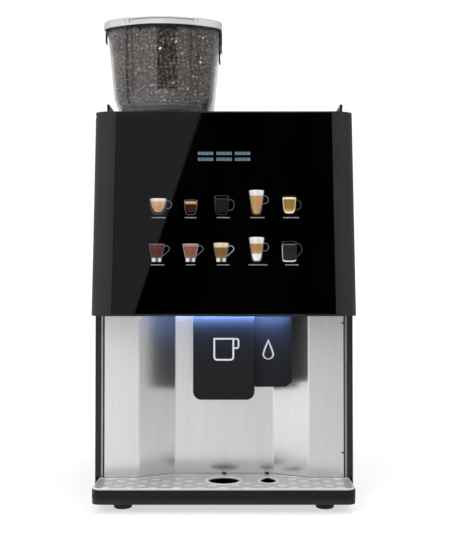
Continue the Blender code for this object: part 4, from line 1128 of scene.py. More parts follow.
outline(
    "amber_mug_rim", (96.6, 151.6, 178.6, 7.6, 10.6), width=0.6, look=DARK_LINE,
    crown=0.9, bend=0.5,
)
cup(
    "amber_mug_edge", (96.6, 152.6, 176.4, 7.0, 10.0),
    [
        (152, (0.85, 0.78, 0.56)), (160, (0.62, 0.48, 0.22)), (172, (0.70, 0.56, 0.30)),
        (176, (0.92, 0.84, 0.62)),
    ],
    crown=0.8, bend=0.5,
)
cup(
    "amber_mug", (96.6, 155.4, 173.8, 5.6, 8.2),
    [(155, (0.62, 0.44, 0.20)), (160, AMBER), (172, (0.30, 0.16, 0.035)), (174, (0.48, 0.32, 0.12))],
    foot=0.35, crown=0.5, side=ROUNDED, bend=0.5, level=3,
)
ring_handle("amber_mug_handle", 107.6, 165.6, 7.2, 8.2, width=1.5, look=DARK_LINE)

# lower row: three cone cups on silver bases
# name, centre, brim height, crown, colours, rim line, handle line
CONES = (
    (
        "dark_cone", -98.0, 105.8, 0.5,
        [
            (86, (0.13, 0.04, 0.03)), (92, CHOCOLATE), (104, (0.11, 0.032, 0.024)),
            (107, (0.22, 0.15, 0.14)),
        ],
        GREY_LINE, GREY_LINE,
    ),
    (
        "brown_cone", -48.6, 105.8, 0.5,
        [
            (86, (0.30, 0.12, 0.09)), (92, MOCHA), (102, (0.26, 0.10, 0.07)),
            (104.6, (0.46, 0.31, 0.26)), (107, (0.38, 0.27, 0.24)),
        ],
        PALE_LINE, GREY_LINE,
    ),
    (
        "amber_cone", -3.8, 107.4, 1.0,
        [
            (86, (0.27, 0.15, 0.05)), (92, TEA), (100.8, (0.24, 0.13, 0.035)), (102.0, CREAM),
            (107.6, (0.82, 0.74, 0.58)),
        ],
        GREY_LINE, PALE_LINE,
    ),
)
BASE_STOPS = [(79, (0.5, 0.5, 0.51)), (82, 0.88), (86, (0.62, 0.62, 0.63))]
# the cones' handle: x from the cup's centre, s
CONE_HANDLE = (
    (10.6, 102.6), (13.8, 104.0), (16.6, 103.2), (18.8, 99.4), (17.6, 96.4), (7.4, 87.2)
)
for tag, centre, brim, crown, stops, rim_look, handle_look in CONES:
    cup(tag, (centre, 85.6, brim, 7.0, 11.1), stops, foot=0.0, crown=crown, side=ROUNDED)
    outline(
        tag + "_rim", (centre, 85.2, 106.2, 7.6, 11.9), width=0.7, look=rim_look,
        foot=0.0, crown=0.9,
    )
    cup(
        tag + "_base", (centre, 79.8, 85.6, 6.8, 7.2), BASE_STOPS,
        foot=0.0, crown=0.0, side=POLISHED,
    )
    handle = [(centre + u, s) for u, s in CONE_HANDLE]
    art(tag + "_handle", stroke(handle, width=1.1, corner=2.0), handle_look)

outline(
    "layered_glass_rim", (48.1, 79.6, 115.6, 6.8, 11.4), width=0.7, look=GREY_LINE,
    foot=0.12, crown=0.9,
)
cup(
    "layered_glass", (48.1, 81.4, 115.6, 5.4, 11.0),
    [
        (81, (0.92, 0.91, 0.90)), (91.0, (0.88, 0.86, 0.84)), (92.6, (0.50, 0.33, 0.17)),
        (98, (0.40, 0.235, 0.085)), (106.4, (0.40, 0.235, 0.09)), (107.6, FOAM),
        (117, (0.92, 0.91, 0.90)),
    ],
    foot=0.2, crown=1.4, side=ROUNDED,
)
ring_handle("layered_glass_handle", 59.2, 101.8, 7.0, 6.6, width=1.2, look=GREY_LINE)

cup(
    "clear_mug", (95.6, 83.0, 106.6, 9.6, 9.9),
    [
        (83, (0.02, 0.02, 0.024)), (100, (0.014, 0.014, 0.018)), (104.8, (0.02, 0.02, 0.024)),
        (105.4, (0.20, 0.20, 0.21)), (106.8, 0.03),
    ],
    foot=0.15, crown=0.0,
)
outline(
    "clear_mug_rim", (95.6, 80.6, 109.8, 10.3, 10.9), width=0.8, look=DARK_LINE,
    foot=0.12, crown=0.9,
)
mug_left = stroke([(85.8, 105.0), (85.6, 95.0), (86.2, 83.2)], width=1.3, corner=1.0)
art("clear_mug_left", mug_left, PALE_LINE, level=2)
mug_foot = stroke([(86.0, 82.4), (89.0, 80.8), (102.0, 80.8), (105.2, 82.6)], width=1.9, corner=2.0)
art("clear_mug_foot", mug_foot, lit("print_white_foot", [(79, 0.75), (84, 0.6)]), level=2)
mug_handle = stroke(
    [(106.0, 107.4), (110.6, 106.4), (114.8, 101.4), (113.0, 93.6), (106.0, 86.6)],
    width=1.5, corner=3.0,
)
art("clear_mug_handle", mug_handle, DARK_LINE)


def mark(x0, x1, s0, s1):
    return (x0 * MM, x1 * MM, s0 * MM, s1 * MM, ART_LOW, ART_HIGH)


def marks_object(name, spans, look):
    box_object(name, spans, look, "door", smooth=None, matrix=GLASS_PLANE)


# dashes in place of a label under each picture: height, half length of each
LABEL_CENTRES = (-96.0, -48.3, -0.5, 49.8, 99.3)
LABEL_ROWS = ((146.1, (10.0, 9.0, 10.0, 10.8, 11.8)), (75.3, (9.8, 6.6, 9.2, 13.6, 9.8)))
for row, (s, halves) in enumerate(LABEL_ROWS):
    for column, (centre, half) in enumerate(zip(LABEL_CENTRES, halves)):
        dashes = []
        x, end = centre - half, centre + half
        while x < end - 0.8:
            width = min(rng.uniform(0.8, 1.5), end - x)
            drop = rng.choice((0.55, 0.55, 0.85))
            dashes.append(mark(x, x + width, s - drop, s + 0.65))
            x += width + 0.6
        marks_object("label_dashes_%d_%d" % (row, column), dashes, LABEL)

# the display's two rows: three blocks of twelve columns, three marks high
for row, low_line in enumerate((243.0, 233.8)):
    dots = []
    for block in range(3):
        for column in range(12):
            x = -38.6 + block * 27.6 + column * 1.95
            for line in range(3):
                s = low_line + line * 1.75
                dots.append(mark(x, x + 0.95, s - 0.45, s + 0.45))
    marks_object("display_marks_%d" % row, dots, CYAN)


# ------------------------------------------------------------------ signs on the spout covers
def cover_sign(name, loops, cover, body):
    """A thin print on the front face of a cover; loops are in x and z."""
    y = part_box(cover)[0][1]
    upright = Matrix(((1, 0, 0, 0), (0, 0, -1, y), (0, 1, 0, 0), (0, 0, 0, 1)))
    sheet(name, loops, 0.0, 0.00022, upright, "white_print", body)


def drop_outline(wide, tall, sink=0.0):
    """A drop with its point up, scaled about its middle."""
    loop = []
    for i in range(40):
        a = 2 * math.pi * i / 40
        up = math.cos(a)
        across = 0.0074 * math.sin(a) * (1 if up < 0 else (1 - up) ** 0.62)
        rise = (0.0212 if up > 0 else 0.0074) * up
        loop.append((0.0657 + across * wide, 0.2256 - sink + rise * tall))
    return loop


cup_outer = rounded(-0.0152, 0.0152, 0.2172, 0.2504, (0.0056, 0.0056, 0.0006, 0.0006))
cup_inner = rounded(-0.0127, 0.0127, 0.2197, 0.2479, (0.0032, 0.0032, 0.0002, 0.0002))
cover_sign("cup_sign_body", [cup_outer, cup_inner], "cup_spout_cover", "cup_cover")
cup_handle = stroke(
    [(14.6, 249.0), (21.5, 249.0), (21.5, 235.4), (14.6, 235.4)], width=2.4, corner=4.2
)
cover_sign("cup_sign_handle", cup_handle, "cup_spout_cover", "cup_cover")
drop_loops = [drop_outline(1.17, 1.07), drop_outline(0.83, 0.83, sink=0.0002)]
cover_sign("drop_sign", drop_loops, "water_spout_cover", "water_cover")

# ------------------------------------------------------------------ drip grille
GRILLE_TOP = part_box("drip_grille")[1][2]
RING_Y = -0.214  # middle of the round ring
DROP_X = 0.066  # middle of the drop-shaped ring
PAD_PITCH = 0.0340

pads = []
for row, y in enumerate((-0.2605, -0.2465, -0.2325, -0.2185, -0.2045)):
    for k in range(-6, 7):
        x = k * PAD_PITCH + (PAD_PITCH / 2 if row % 2 else 0.0)
        in_round_ring = math.hypot(x, y - RING_Y) < 0.036
        in_drop_ring = abs(x - DROP_X) < 0.026 and -0.244 < y < -0.176
        if abs(x) <= 0.178 and not in_round_ring and not in_drop_ring:
            pads.append((
                x - 0.0056, x + 0.0056, y - 0.0030, y + 0.0030,
                GRILLE_TOP - 0.0001, GRILLE_TOP + 0.0006,
            ))
# painted highlight: the pads are a paler steel than the grille round them
box_object(
    "grille_raised_pads", pads, "worn_bright_steel", "grille", edge=0.0005, segments=3
)


def ring_bead(name, inside, outside, height):
    """A raised bead between two loops, higher along its inside."""
    loops = (inside, grown(inside, 0.0006), grown(outside, -0.0006), outside)
    rises = (-0.0001, height, height * 0.7, -0.0001)
    rings = [[(u, v, GRILLE_TOP + rise) for u, v in loop] for loop, rise in zip(loops, rises)]
    # painted highlight: the beads are a paler steel than the grille
    skin_object(name, [rings], "worn_bright_steel", "grille", 45, closed=True)


hole = circle(0, RING_Y, 0.0232, 64)
ring_bead("grille_round_ring", hole, grown(hole, 0.0050), height=0.0009)
drop_hole = []
for i in range(48):
    a = 2 * math.pi * i / 48
    up = math.cos(a)
    drop_hole.append((
        DROP_X + 0.012 * math.sin(a) * (1 if up < 0 else 1 - 0.55 * up),
        -0.212 + 0.022 * up * (1 if up > 0 else 0.85),
    ))
ring_bead("grille_drop_ring", grown(drop_hole, 0.0004), grown(drop_hole, 0.0044), height=0.0008)
# the two rounded front corners, then the back edge that follows the folded panel
rim = rounded(-0.1885, 0.1885, -0.2686, -0.1968, 0.0128, 10)[:22] + [
    (0.1885, -0.1968), (0.1272, -0.1968), (0.0752, -0.1670),
    (-0.0752, -0.1670), (-0.1272, -0.1968), (-0.1885, -0.1968),
]
ring_bead("grille_rim", grown(rim, -0.0014), rim, height=0.0007)

# dark tabs where the grille hooks under the back panel
tabs = [
    (x - 0.0033, x + 0.0033, -0.1690, -0.1655, GRILLE_TOP + 0.0001, GRILLE_TOP + 0.0022)
    for x in (0.0, DROP_X)
]
box_object(
    "panel_foot_tabs", tabs, "inner_black_moulding", "cabinet", edge=0.0005
)

# ------------------------------------------------------------------ folded panel behind the spouts
PANEL_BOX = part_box("splash_panel")
PANEL_Y = PANEL_BOX[0][1]
PANEL_LOW, PANEL_HIGH = PANEL_BOX[0][2], PANEL_BOX[1][2]
PANEL_THICK = 0.0014
# its front line seen from above: x, y
PANEL_LINE = (
    (-0.1846, -0.195), (-0.128, -0.195), (-0.076, -0.165),
    (0.076, -0.165), (0.128, -0.195), (0.1846, -0.195),
)

# quarter-turn fasteners at the panel's right edge
for k, z in enumerate((0.2705, 0.0745)):
    bm = bmesh.new()
    add_cylinder(bm, 0.1792, PANEL_Y - 0.0006, z, radius=0.0016, depth=0.0012, segments=32)
    fastener = mesh_object("panel_fastener_%d" % k, bm, "motor_enamel", "cabinet", 40)
    bevel(fastener, 0.0004)


def bent(points, radius, steps=7):
    """An open path with each inner corner turned into an arc."""
    out = [points[0]]
    for before, point, after in zip(points, points[1:], points[2:]):
        corner = Vector(point)
        a, b = (Vector(before) - corner).normalized(), (Vector(after) - corner).normalized()
        half = a.angle(b) / 2
        reach = radius / math.tan(half)
        start, end = corner + a * reach, corner + b * reach
        middle = corner + (a + b).normalized() * (radius / math.sin(half))
        first = math.atan2(start.y - middle.y, start.x - middle.x)
        last = math.atan2(end.y - middle.y, end.x - middle.x)
        turn = (last - first + math.pi) % (2 * math.pi) - math.pi
        for k in range(steps + 1):
            w = first + turn * k / steps
            out.append((middle.x + radius * math.cos(w), middle.y + radius * math.sin(w)))
    out.append(points[-1])
    return out


def build_panel():
    front = bent(PANEL_LINE, radius=0.0075)
    back = [(u, v + PANEL_THICK) for u, v in front]
    panel = sheet(
        "brushed_back_panel", [front + back[::-1]], PANEL_LOW, PANEL_HIGH, Matrix.Identity(4),
        "upright_brushed_steel", None, smooth=20,
    )
    window = (-0.032, 0.086, -0.178, -0.150, 0.204, 0.268)
    cut_box(panel, window, "upright_brushed_steel")
    panel.data.shade_smooth()
    panel.data.set_sharp_from_angle(angle=math.radians(25))
    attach(panel, "cabinet")
    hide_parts("splash_panel")


build_panel()

for side, tag in ((-1, "left"), (1, "right")):
    upright_span = (PANEL_LOW, PANEL_HIGH + 0.001)
    strip = (*sorted((side * 0.1859, side * 0.1829)), -0.1962, -0.1953, *upright_span)
    box_object(
        "side_edge_strip_" + tag, [strip], "folded_edge_steel", "cabinet",
        edge=0.0006, segments=3,
    )
    # painted shade: a black strip standing in for the shadow in the gap beside the panel
    gap_shade = (*sorted((side * 0.18285, side * 0.1809)), -0.1956, -0.19515, *upright_span)
    box_object("side_gap_shade_strip_" + tag, [gap_shade], "black_rubber", "cabinet", edge=0.0002)

# ------------------------------------------------------------------ back of the cabinet
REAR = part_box("rear_panel")[1][1]
FAN_X, FAN_Z = 0.105, 0.505
GUARD_RADIUS = 0.0455

for k, radius in enumerate((0.0150, 0.0230, 0.0310, 0.0390, GUARD_RADIUS)):
    y = REAR + 0.0019 + 0.0012 * (1 - radius / GUARD_RADIUS)
    ring = [(u, y, v) for u, v in circle(FAN_X, FAN_Z, radius, 48)]
    tube(
        "fan_guard_ring_%d" % k, ring, 0.0009, "dark_plated_wire", "cabinet",
        closed=True, sides=10,
    )
DIAGONALS = [math.pi / 4 + k * math.pi / 2 for k in range(4)]
# distance from the fan's middle, height off the rear panel
STAY_LINE = ((0.0150, 0.0038), (0.030, 0.0034), (GUARD_RADIUS, 0.0030), (0.0520, 0.0016))
for k, a in enumerate(DIAGONALS):
    line = [(FAN_X + math.cos(a) * r, REAR + y, FAN_Z + math.sin(a) * r) for r, y in STAY_LINE]
    tube(
        "fan_guard_stay_%d" % k, line, 0.0010, "dark_plated_wire", "cabinet", sides=10
    )


def rear_screw(u, v, radius=0.0034):
    """Rings of a pan head with a crossed recess."""
    tall = 0.0016
    # share of the radius, share of the height
    profile = ((1, 0.0), (1, 0.45), (0.86, 0.8), (0.55, 1), (0.42, 1))
    rings = [
        [(a, REAR + tall * out, b) for a, b in circle(u, v, radius * share, 24)]
        for share, out in profile
    ]
    recess = []
    for i in range(24):
        r = radius * (0.42 if i % 6 == 0 else 0.16)
        a = 2 * math.pi * i / 24
        recess.append((u + r * math.cos(a), REAR + tall * 0.45, v + r * math.sin(a)))
    return rings + [recess]


SCREW_LOW, SCREW_HIGH = 0.034, 0.572
stacks = [
    rear_screw(side * 0.183, v)
    for side in (-1, 1) for v in (SCREW_LOW, 0.170, 0.306, 0.442, SCREW_HIGH)
]
stacks += [rear_screw(0.0, v) for v in (SCREW_LOW, SCREW_HIGH)]
stacks += [
    rear_screw(FAN_X + 0.0540 * math.cos(a), FAN_Z + 0.0540 * math.sin(a), radius=0.0028)
    for a in DIAGONALS
]
skin_object("rear_panel_screws", stacks, "blackened_screw", "cabinet", 30)

# a blank rating plate on four rivets
facing_back = Matrix(((-1, 0, 0, 0), (0, 0, 1, REAR), (0, 1, 0, 0), (0, 0, 0, 1)))
sheet(
    "blank_rating_plate", [rounded(-0.030, 0.050, 0.188, 0.232, 0.003, 5)], 0.0, 0.0006,
    facing_back, "blank_rating_plate", "cabinet",
)
bm = bmesh.new()
for u in (0.027, -0.047):
    for v in (0.191, 0.229):
        add_cylinder(bm, u, REAR + 0.0008, v, radius=0.0015, depth=0.0010, segments=20)
bevel(mesh_object("rating_plate_rivets", bm, "plain_steel", "cabinet", 40), 0.0003)

# pressed lips round the louvres: left end, right end, lowest slot, number of slots
LOUVRES = ((-0.150, -0.060, 0.300, 6), (0.060, 0.150, 0.060, 4))
LOUVRE_PITCH, LOUVRE_TALL = 0.016, 0.006
# growth from the slot, corner radius, height off the panel
LIP_SECTION = (
    (-0.0002, 0.0027, -0.0004), (0.0001, 0.0030, 0.0007), (0.0006, 0.0035, 0.0007),
    (0.0012, 0.0040, 0.0),
)
stacks = []
for x0, x1, lowest, count in LOUVRES:
    for i in range(count):
        z = lowest + LOUVRE_PITCH * i
        loops = rim_loops(x0, x1, z, z + LOUVRE_TALL, LIP_SECTION, 4)
        stacks.append([[(u, REAR + out, v) for u, v in loop] for loop, out in loops])
skin_object("rear_louvre_lips", stacks, "black_coat", "cabinet", 50, closed=True)

# three pins in the inlet
pins = [
    (u - 0.0010, u + 0.0010, 0.2538, 0.2655, v - 0.0022, v + 0.0022)
    for u, v in ((-0.140, 0.0590), (-0.126, 0.0590), (-0.133, 0.0660))
]
box_object("inlet_pins", pins, "brass", "cabinet", edge=0.0004)

# ------------------------------------------------------------------ sides and top
SIDE_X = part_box("right_side_panel")[1][0]


def side_screw(side, y, z):
    """Rings of a pan head with a round recess."""
    radius, tall = 0.0030, 0.0014
    # share of the radius, share of the height
    profile = ((1, 0.0), (1, 0.45), (0.86, 0.8), (0.5, 1), (0.4, 0.5))
    return [
        [(side * (SIDE_X + tall * out), a, b) for a, b in circle(y, z, radius * share, 24)]
        for share, out in profile
    ]


SIDE_SCREWS = ((-0.140, SCREW_LOW), (0.250, SCREW_LOW), (0.250, SCREW_HIGH))
stacks = [side_screw(side, y, z) for side in (-1, 1) for y, z in SIDE_SCREWS]
skin_object("side_panel_screws", stacks, "blackened_screw", "cabinet", 30)

# a raised seam round the service flap, and its finger tab
FLAP_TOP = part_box("service_flap")[1][2]
# growth, corner radius, height over the flap
SEAM_SECTION = (
    (0.0, 0.006, -0.0002), (-0.0007, 0.0055, 0.0005), (-0.0020, 0.0045, 0.0005),
    (-0.0027, 0.004, -0.0002),
)
seam_loops = rim_loops(0.0145, 0.1795, -0.1095, 0.1255, SEAM_SECTION, 5)
seam_rings = [[(u, v, FLAP_TOP + rise) for u, v in loop] for loop, rise in seam_loops]
skin_object(
    "service_flap_seam", [seam_rings], "black_coat", "flap", 50, closed=True
)
tab = (0.080, 0.114, -0.1195, -0.1130, FLAP_TOP - 0.0022, FLAP_TOP - 0.0002)
box_object(
    "service_flap_tab", [tab], "satin_black_moulding", "flap",
    edge=0.0006, segments=3,
)


# ------------------------------------------------------------------ powders in the canisters
def powder(tag, middle, top):
    """A heaped surface over straight sides that narrow at the foot."""
    columns, rows = 14, 34
    bm = bmesh.new()
    grid = []
    for j in range(rows + 1):
        row = []
        for i in range(columns + 1):
            u = middle - 0.0314 + 0.0628 * i / columns
            v = -0.0752 + 0.1924 * j / rows
            heap = 0.006 * math.sin(u * 95 + v * 21) + 0.009 * math.cos((v - 0.02) * 22)
            row.append(bm.verts.new((u, v, top + (heap + jitter(0.0007)))))
        grid.append(row)
    for near, far in zip(grid, grid[1:]):
        for i in range(columns):
            bm.faces.new((near[i], near[i + 1], far[i + 1], far[i]))
    edge = grid[0] + [row[-1] for row in grid[1:]]
    edge += grid[-1][-2::-1] + [row[0] for row in grid[-2:0:-1]]
    low = [bm.verts.new((p.co.x, p.co.y, 0.442)) for p in edge]
    foot = [bm.verts.new((middle + (p.co.x - middle) * 0.72, p.co.y, 0.424)) for p in edge]
    for upper, lower in ((edge, low), (low, foot)):
        for i in range(len(edge)):
            j = (i + 1) % len(edge)
            bm.faces.new((upper[j], upper[i], lower[i], lower[j]))
    bm.faces.new(foot[::-1])
    mesh_object(tag + "_powder", bm, tag + "_powder", "cabinet", 50)


powder("milk", 0.057, 0.520)
powder("chocolate", 0.133, 0.492)

# ------------------------------------------------------------------ circuit board in the door
# Parts stand on the board's back, placed by x and the distance up the glass.
BOARD_BACK = -0.0135


def board_box(u, v, half_wide, half_tall, height):
    return (
        u - half_wide, u + half_wide, v - half_tall, v + half_tall,
        BOARD_BACK - height, BOARD_BACK + 0.0002,
    )


# x, up, width, length, height
CHIPS = (
    (-0.05, 0.205, 0.016, 0.016, 0.0020), (0.034, 0.150, 0.014, 0.014, 0.0018),
    (0.084, 0.200, 0.012, 0.008, 0.0018), (-0.096, 0.140, 0.010, 0.018, 0.0022),
    (0.090, 0.110, 0.009, 0.006, 0.0015), (-0.020, 0.110, 0.012, 0.007, 0.0016),
    (0.0, 0.228, 0.020, 0.006, 0.0016),
)
chips = [board_box(u, v, wide / 2, tall / 2, height) for u, v, wide, tall, height in CHIPS]
for k in range(46):
    u, v = rng.uniform(-0.132, 0.132), rng.uniform(0.090, 0.240)
    halves = rng.choice(((0.0011, 0.0006), (0.0006, 0.0011), (0.0016, 0.0009)))
    chips.append(board_box(u, v, *halves, 0.0007))
box_object(
    "board_chips", chips, "chip_black", "door",
    edge=0.0001, segments=1, matrix=GLASS_PLANE,
)
plugs = [board_box(u, 0.0500, 0.0085, 0.0035, 0.0075) for u in (0.108, 0.086, 0.060, -0.030)]
plugs.append(board_box(0.1335, 0.140, 0.0035, 0.012, 0.0070))
box_object(
    "board_connectors", plugs, "ivory_moulding", "door",
    edge=0.0004, matrix=GLASS_PLANE,
)
# x, up, radius, height
CAPACITORS = (
    (0.118, 0.074, 0.0045, 0.012), (0.104, 0.074, 0.0045, 0.012), (0.092, 0.076, 0.0032, 0.009),
    (-0.080, 0.070, 0.0045, 0.012), (-0.094, 0.070, 0.0032, 0.009),
)
stacks = []
for u, v, r, tall in CAPACITORS:
    profile = ((r, 0.0002), (r, -tall + 0.0006), (r - 0.0006, -tall), (r * 0.7, -tall + 0.0002))
    stacks.append([
        [GLASS_PLANE @ Vector((a, b, BOARD_BACK + out)) for a, b in circle(u, v, radius, 20)]
        for radius, out in profile
    ])
skin_object("board_capacitors", stacks, "plain_steel", "door", 40)

for k, (u, look) in enumerate(((0.112, "black_wire"), (0.106, "brown_wire"), (0.088, "blue_wire"))):
    start = GLASS_PLANE @ Vector((u, 0.050, BOARD_BACK - 0.0076))
    line = [
        start, start + Vector((0, 0.010, 0)),
        (u - 0.03, -0.205 - 0.002 * k, 0.318 - 0.004 * k),
        (-0.10, -0.203 - 0.002 * k, 0.304 - 0.003 * k),
        (-0.160, -0.205 - 0.002 * k, 0.303 - 0.003 * k),
    ]
    tube("door_loom_%d" % k, line, 0.0011, look, "door", corner=0.014)

# ------------------------------------------------------------------ boiler and power supply
for k, z in enumerate((0.325, 0.430)):
    band = [(u, v, z) for u, v in circle(-0.125, 0.140, 0.0467, 48)]
    tube("boiler_band_%d" % k, band, 0.0011, "bright_steel", "cabinet", closed=True)
bm = bmesh.new()
add_cylinder(bm, -0.108, 0.0915, 0.380, radius=0.0085, depth=0.010, segments=28)
for x in (-0.1115, -0.1060):
    add_box(bm, x, x + 0.0015, 0.0815, 0.0870, 0.3770, 0.3830)
bevel(mesh_object("boiler_thermostat", bm, "bright_steel", "cabinet", 40), 0.0004)

vents = [
    (0.078 + i * 0.0075, 0.0815 + i * 0.0075, 0.120, 0.180, 0.0639, 0.0642) for i in range(9)
]
box_object("supply_vent_slots", vents, "chip_black", "cabinet")
TERMINAL_PITCH = 0.0125
terminals = [
    (0.0745 + i * TERMINAL_PITCH, 0.0845 + i * TERMINAL_PITCH, 0.0825, 0.0902, 0.036, 0.050)
    for i in range(6)
]
box_object(
    "supply_terminals", terminals, "inner_black_moulding", "cabinet", edge=0.0004
)
bm = bmesh.new()
for i in range(6):
    x = 0.0795 + i * TERMINAL_PITCH
    add_cylinder(bm, x, 0.0820, 0.0440, radius=0.0028, depth=0.0014, segments=20)
mesh_object("supply_terminal_screws", bm, "brass", "cabinet", 40)

MAINS = (("brown_wire", -0.133), ("blue_wire", -0.127), ("green_wire", -0.121))
for k, (look, u) in enumerate(MAINS):
    end_x = 0.0800 + TERMINAL_PITCH * k
    line = [
        (u, 0.2384, 0.062), (u, 0.226, 0.062), (u + 0.01, 0.216, 0.0275 + 0.001 * k),
        (-0.040, 0.222 - 0.004 * k, 0.0245), (0.030, 0.222 - 0.004 * k, 0.0245),
        (0.046, 0.20 - 0.004 * k, 0.0245), (0.046 + 0.003 * k, 0.074 - 0.001 * k, 0.0265),
        (end_x, 0.072, 0.036), (end_x, 0.0808, 0.0400),
    ]
    tube("mains_lead_%d" % k, line, 0.0013, look, "cabinet", corner=0.012)

# ------------------------------------------------------------------ finishes on the CAD nodes
# material, width of the rounded edges, nodes
FINISH = (
    ("black_coat", 0.0008, "base_plate left_side_panel right_side_panel service_flap"),
    ("black_coat", 0.0004, "rear_panel"),
    ("black_coat", 0.0006, "top_cover"),
    ("satin_black_moulding", 0.0006, "left_top_rail right_top_rail lid_latch"),
    ("satin_black_moulding", 0.0012, "cup_spout_cover water_spout_cover"),
    ("satin_black_moulding", 0.0010, "drip_tray"),
    ("charcoal_moulding", 0.0010, "door_frame"),
    ("inner_black_moulding", 0.0008, "door_inner_panel coffee_spout hopper_collar"),
    ("inner_black_moulding", 0.0006, "hot_water_spout"),
    ("inner_black_moulding", 0.0005, "power_inlet rear_fan hopper_gate"),
    ("inner_black_moulding", 0.0004, "power_switch"),
    ("inner_black_moulding", 0.0010, "grinder_housing waste_bin"),
    ("upright_brushed_steel", 0.0, "splash_panel"),
    ("grille_steel", 0.0003, "drip_grille"),
    ("zinc_plated_sheet", 0.0004, "chassis_deck"),
    ("zinc_plated_sheet", 0.0006, "power_supply"),
    ("food_plastic", 0.0008, "brewer_frame brew_chamber mixing_bowl"),
    ("ivory_moulding", 0.0005, "brew_piston"),
    ("ivory_moulding", 0.0003, "drive_pinion milk_auger chocolate_auger whipper_impeller"),
    ("bright_steel", 0.0003, "brew_spindle"),
    ("motor_enamel", 0.0006, "brewer_motor water_pump whipper_motor"),
    ("motor_enamel", 0.0008, "grinder_motor"),
    ("plain_steel", 0.0010, "boiler"),
    ("plain_steel", 0.0004, "lower_hinge_bracket upper_hinge_bracket"),
    ("plain_steel", 0.0003, "lock_cam"),
    ("burr_steel", 0.0003, "upper_burr lower_burr"),
    ("milky_canister", 0.0010, "milk_canister chocolate_canister"),
    ("circuit_board_green", 0.0, "control_board"),
    ("black_backed_glass", 0.0003, "glass_panel"),
    ("blue_light_bar", 0.0003, "led_strip"),
    ("milky_silicone", 0.0, "coffee_hose water_hose"),
    ("black_rubber", 0.0008, "front_left_foot front_right_foot rear_left_foot rear_right_foot"),
    ("clear_moulding", 0.0, "hopper_body"),
    ("frosted_lid", 0.0, "hopper_lid"),
    ("roasted_bean", 0.0, "coffee_beans"),
)
for look, width, names in FINISH:
    for name in names.split():
        if not NODES[name].hide_render:  # a hidden node keeps what it has
            dress(NODES[name], look, width)


# ------------------------------------------------------------------ studio floor and cards
def pale_floor():
    """Pale to the camera and to light; to reflections it is the same ramp as the world."""
    tree, shader = principled("pale_floor")
    plug(tree, shader, {
        "Base Color": (0.93, 0.93, 0.93), "Roughness": 0.8, "Specular IOR Level": 0.1,
    })
    ray = node(tree, "LightPath").outputs
    x = split_axes(tree, node(tree, "NewGeometry").outputs["Position"])["X"]
    sides = colour_ramp(tree, remap(tree, x, span=(-1.1, 1.1)), SIDE_LIGHT)
    reflected = node(tree, "Emission", {"Color": sides}).outputs[0]
    white = node(tree, "Emission", {"Strength": 1.02}).outputs[0]
    white_share = calc(tree, "MULTIPLY", ray["Is Camera Ray"], 0.6)
    seen = mix_shader(tree, white_share, shader.outputs[0], white)
    surface = mix_shader(tree, ray["Is Glossy Ray"], seen, reflected)
    feed(tree, tree.nodes["Material Output"].inputs["Surface"], surface)


pale_floor()
SWEEP_Y, SWEEP_RADIUS = 1.6, 1.2
floor_line = [(-6.0, 0.0), (SWEEP_Y, 0.0)]
for i in range(1, 13):
    a = math.pi / 2 * i / 12
    floor_line.append((
        SWEEP_Y + SWEEP_RADIUS * math.sin(a), SWEEP_RADIUS - SWEEP_RADIUS * math.cos(a)
    ))
floor_line.append((SWEEP_Y + SWEEP_RADIUS, 5.0))
bm = bmesh.new()
rows = [[bm.verts.new((x, y, z)) for x in (-5.0, 5.0)] for y, z in floor_line]
for near, far in zip(rows, rows[1:]):
    bm.faces.new((near[0], near[1], far[1], far[0]))
mesh_object("studio_floor", bm, "pale_floor", recalc=False)


def card(name, y, corners, strength):
    """An upright card that only a first reflection sees; later bounces pass through it."""
    tree, _ = principled(name)
    tree.nodes.clear()
    emission = node(tree, "Emission", {"Strength": strength}).outputs[0]
    depth = node(tree, "LightPath").outputs["Glossy Depth"]
    later = calc(tree, "GREATER_THAN", depth, 1.5)
    surface = mix_shader(tree, later, emission, node(tree, "BsdfTransparent").outputs[0])
    node(tree, "OutputMaterial", {0: surface})
    bm = bmesh.new()
    bm.faces.new([bm.verts.new((x, y, z)) for x, z in corners])
    obj = mesh_object(name, bm, name, recalc=False)
    obj.visible_camera = False
    obj.visible_diffuse = False
    obj.visible_shadow = False


# name, y, corners as x and z, strength
CARDS = (
    ("flag_door", -3.52, ((-2.2, 1.215), (2.2, 1.215), (2.2, 3.2), (-2.2, 3.2)), 0.0),
    (
        "card_door", -3.5, ((-1.6, 1.18), (-0.539, 1.18), (-0.142, 2.60), (-1.6, 2.60)),
        DOOR_CARD_STRENGTH,
    ),
    ("flag_hopper", -3.5, ((-0.72, 0.24), (0.96, 0.24), (0.96, 1.30), (-0.72, 1.30)), 0.0),
)
for row in CARDS:
    card(*row)


# ------------------------------------------------------------------ lights
def area(name, place, target, size, power, colour=(1, 1, 1), glossy=False, size_y=None):
    data = bpy.data.lights.new(name, "AREA")
    data.shape = "RECTANGLE"
    data.size = size
    data.size_y = size_y or size
    data.energy = power
    data.color = colour
    obj = bpy.data.objects.new(name, data)
    SCENE.collection.objects.link(obj)
    obj.location = place
    obj.rotation_euler = (Vector(target) - Vector(place)).to_track_quat("-Z", "Y").to_euler()
    obj.visible_glossy = glossy
    return obj


# name, place, target, size, power
STUDIO_LIGHTS = (
    ("key", (-1.5, -2.3, 1.9), (0, 0, 0.35), 1.4, 46),
    ("fill", (1.7, -2.0, 1.2), (0, 0, 0.3), 1.4, 20),
    ("top", (0.0, -0.3, 2.3), (0, 0, 0.3), 1.8, 26),
    ("back", (0.6, 2.2, 1.6), (0, 0, 0.4), 1.4, 26),
)
for row in STUDIO_LIGHTS:
    area(*row)

# lamps that only put highlights on the beans
sparkle = bpy.data.collections.new("sparkle_on_beans")
sparkle.objects.link(beans)
for tag, place, power in (("left", (-1.1, -2.0, 1.15), 60), ("right", (0.75, -2.1, 1.0), 40)):
    lamp = area(
        "sparkle_" + tag, place, target=(-0.09, -0.2, 0.65), size=0.42, power=power,
        colour=(1, 0.97, 0.93), glossy=True,
    )
    lamp.visible_diffuse = False
    lamp.light_linking.receiver_collection = sparkle

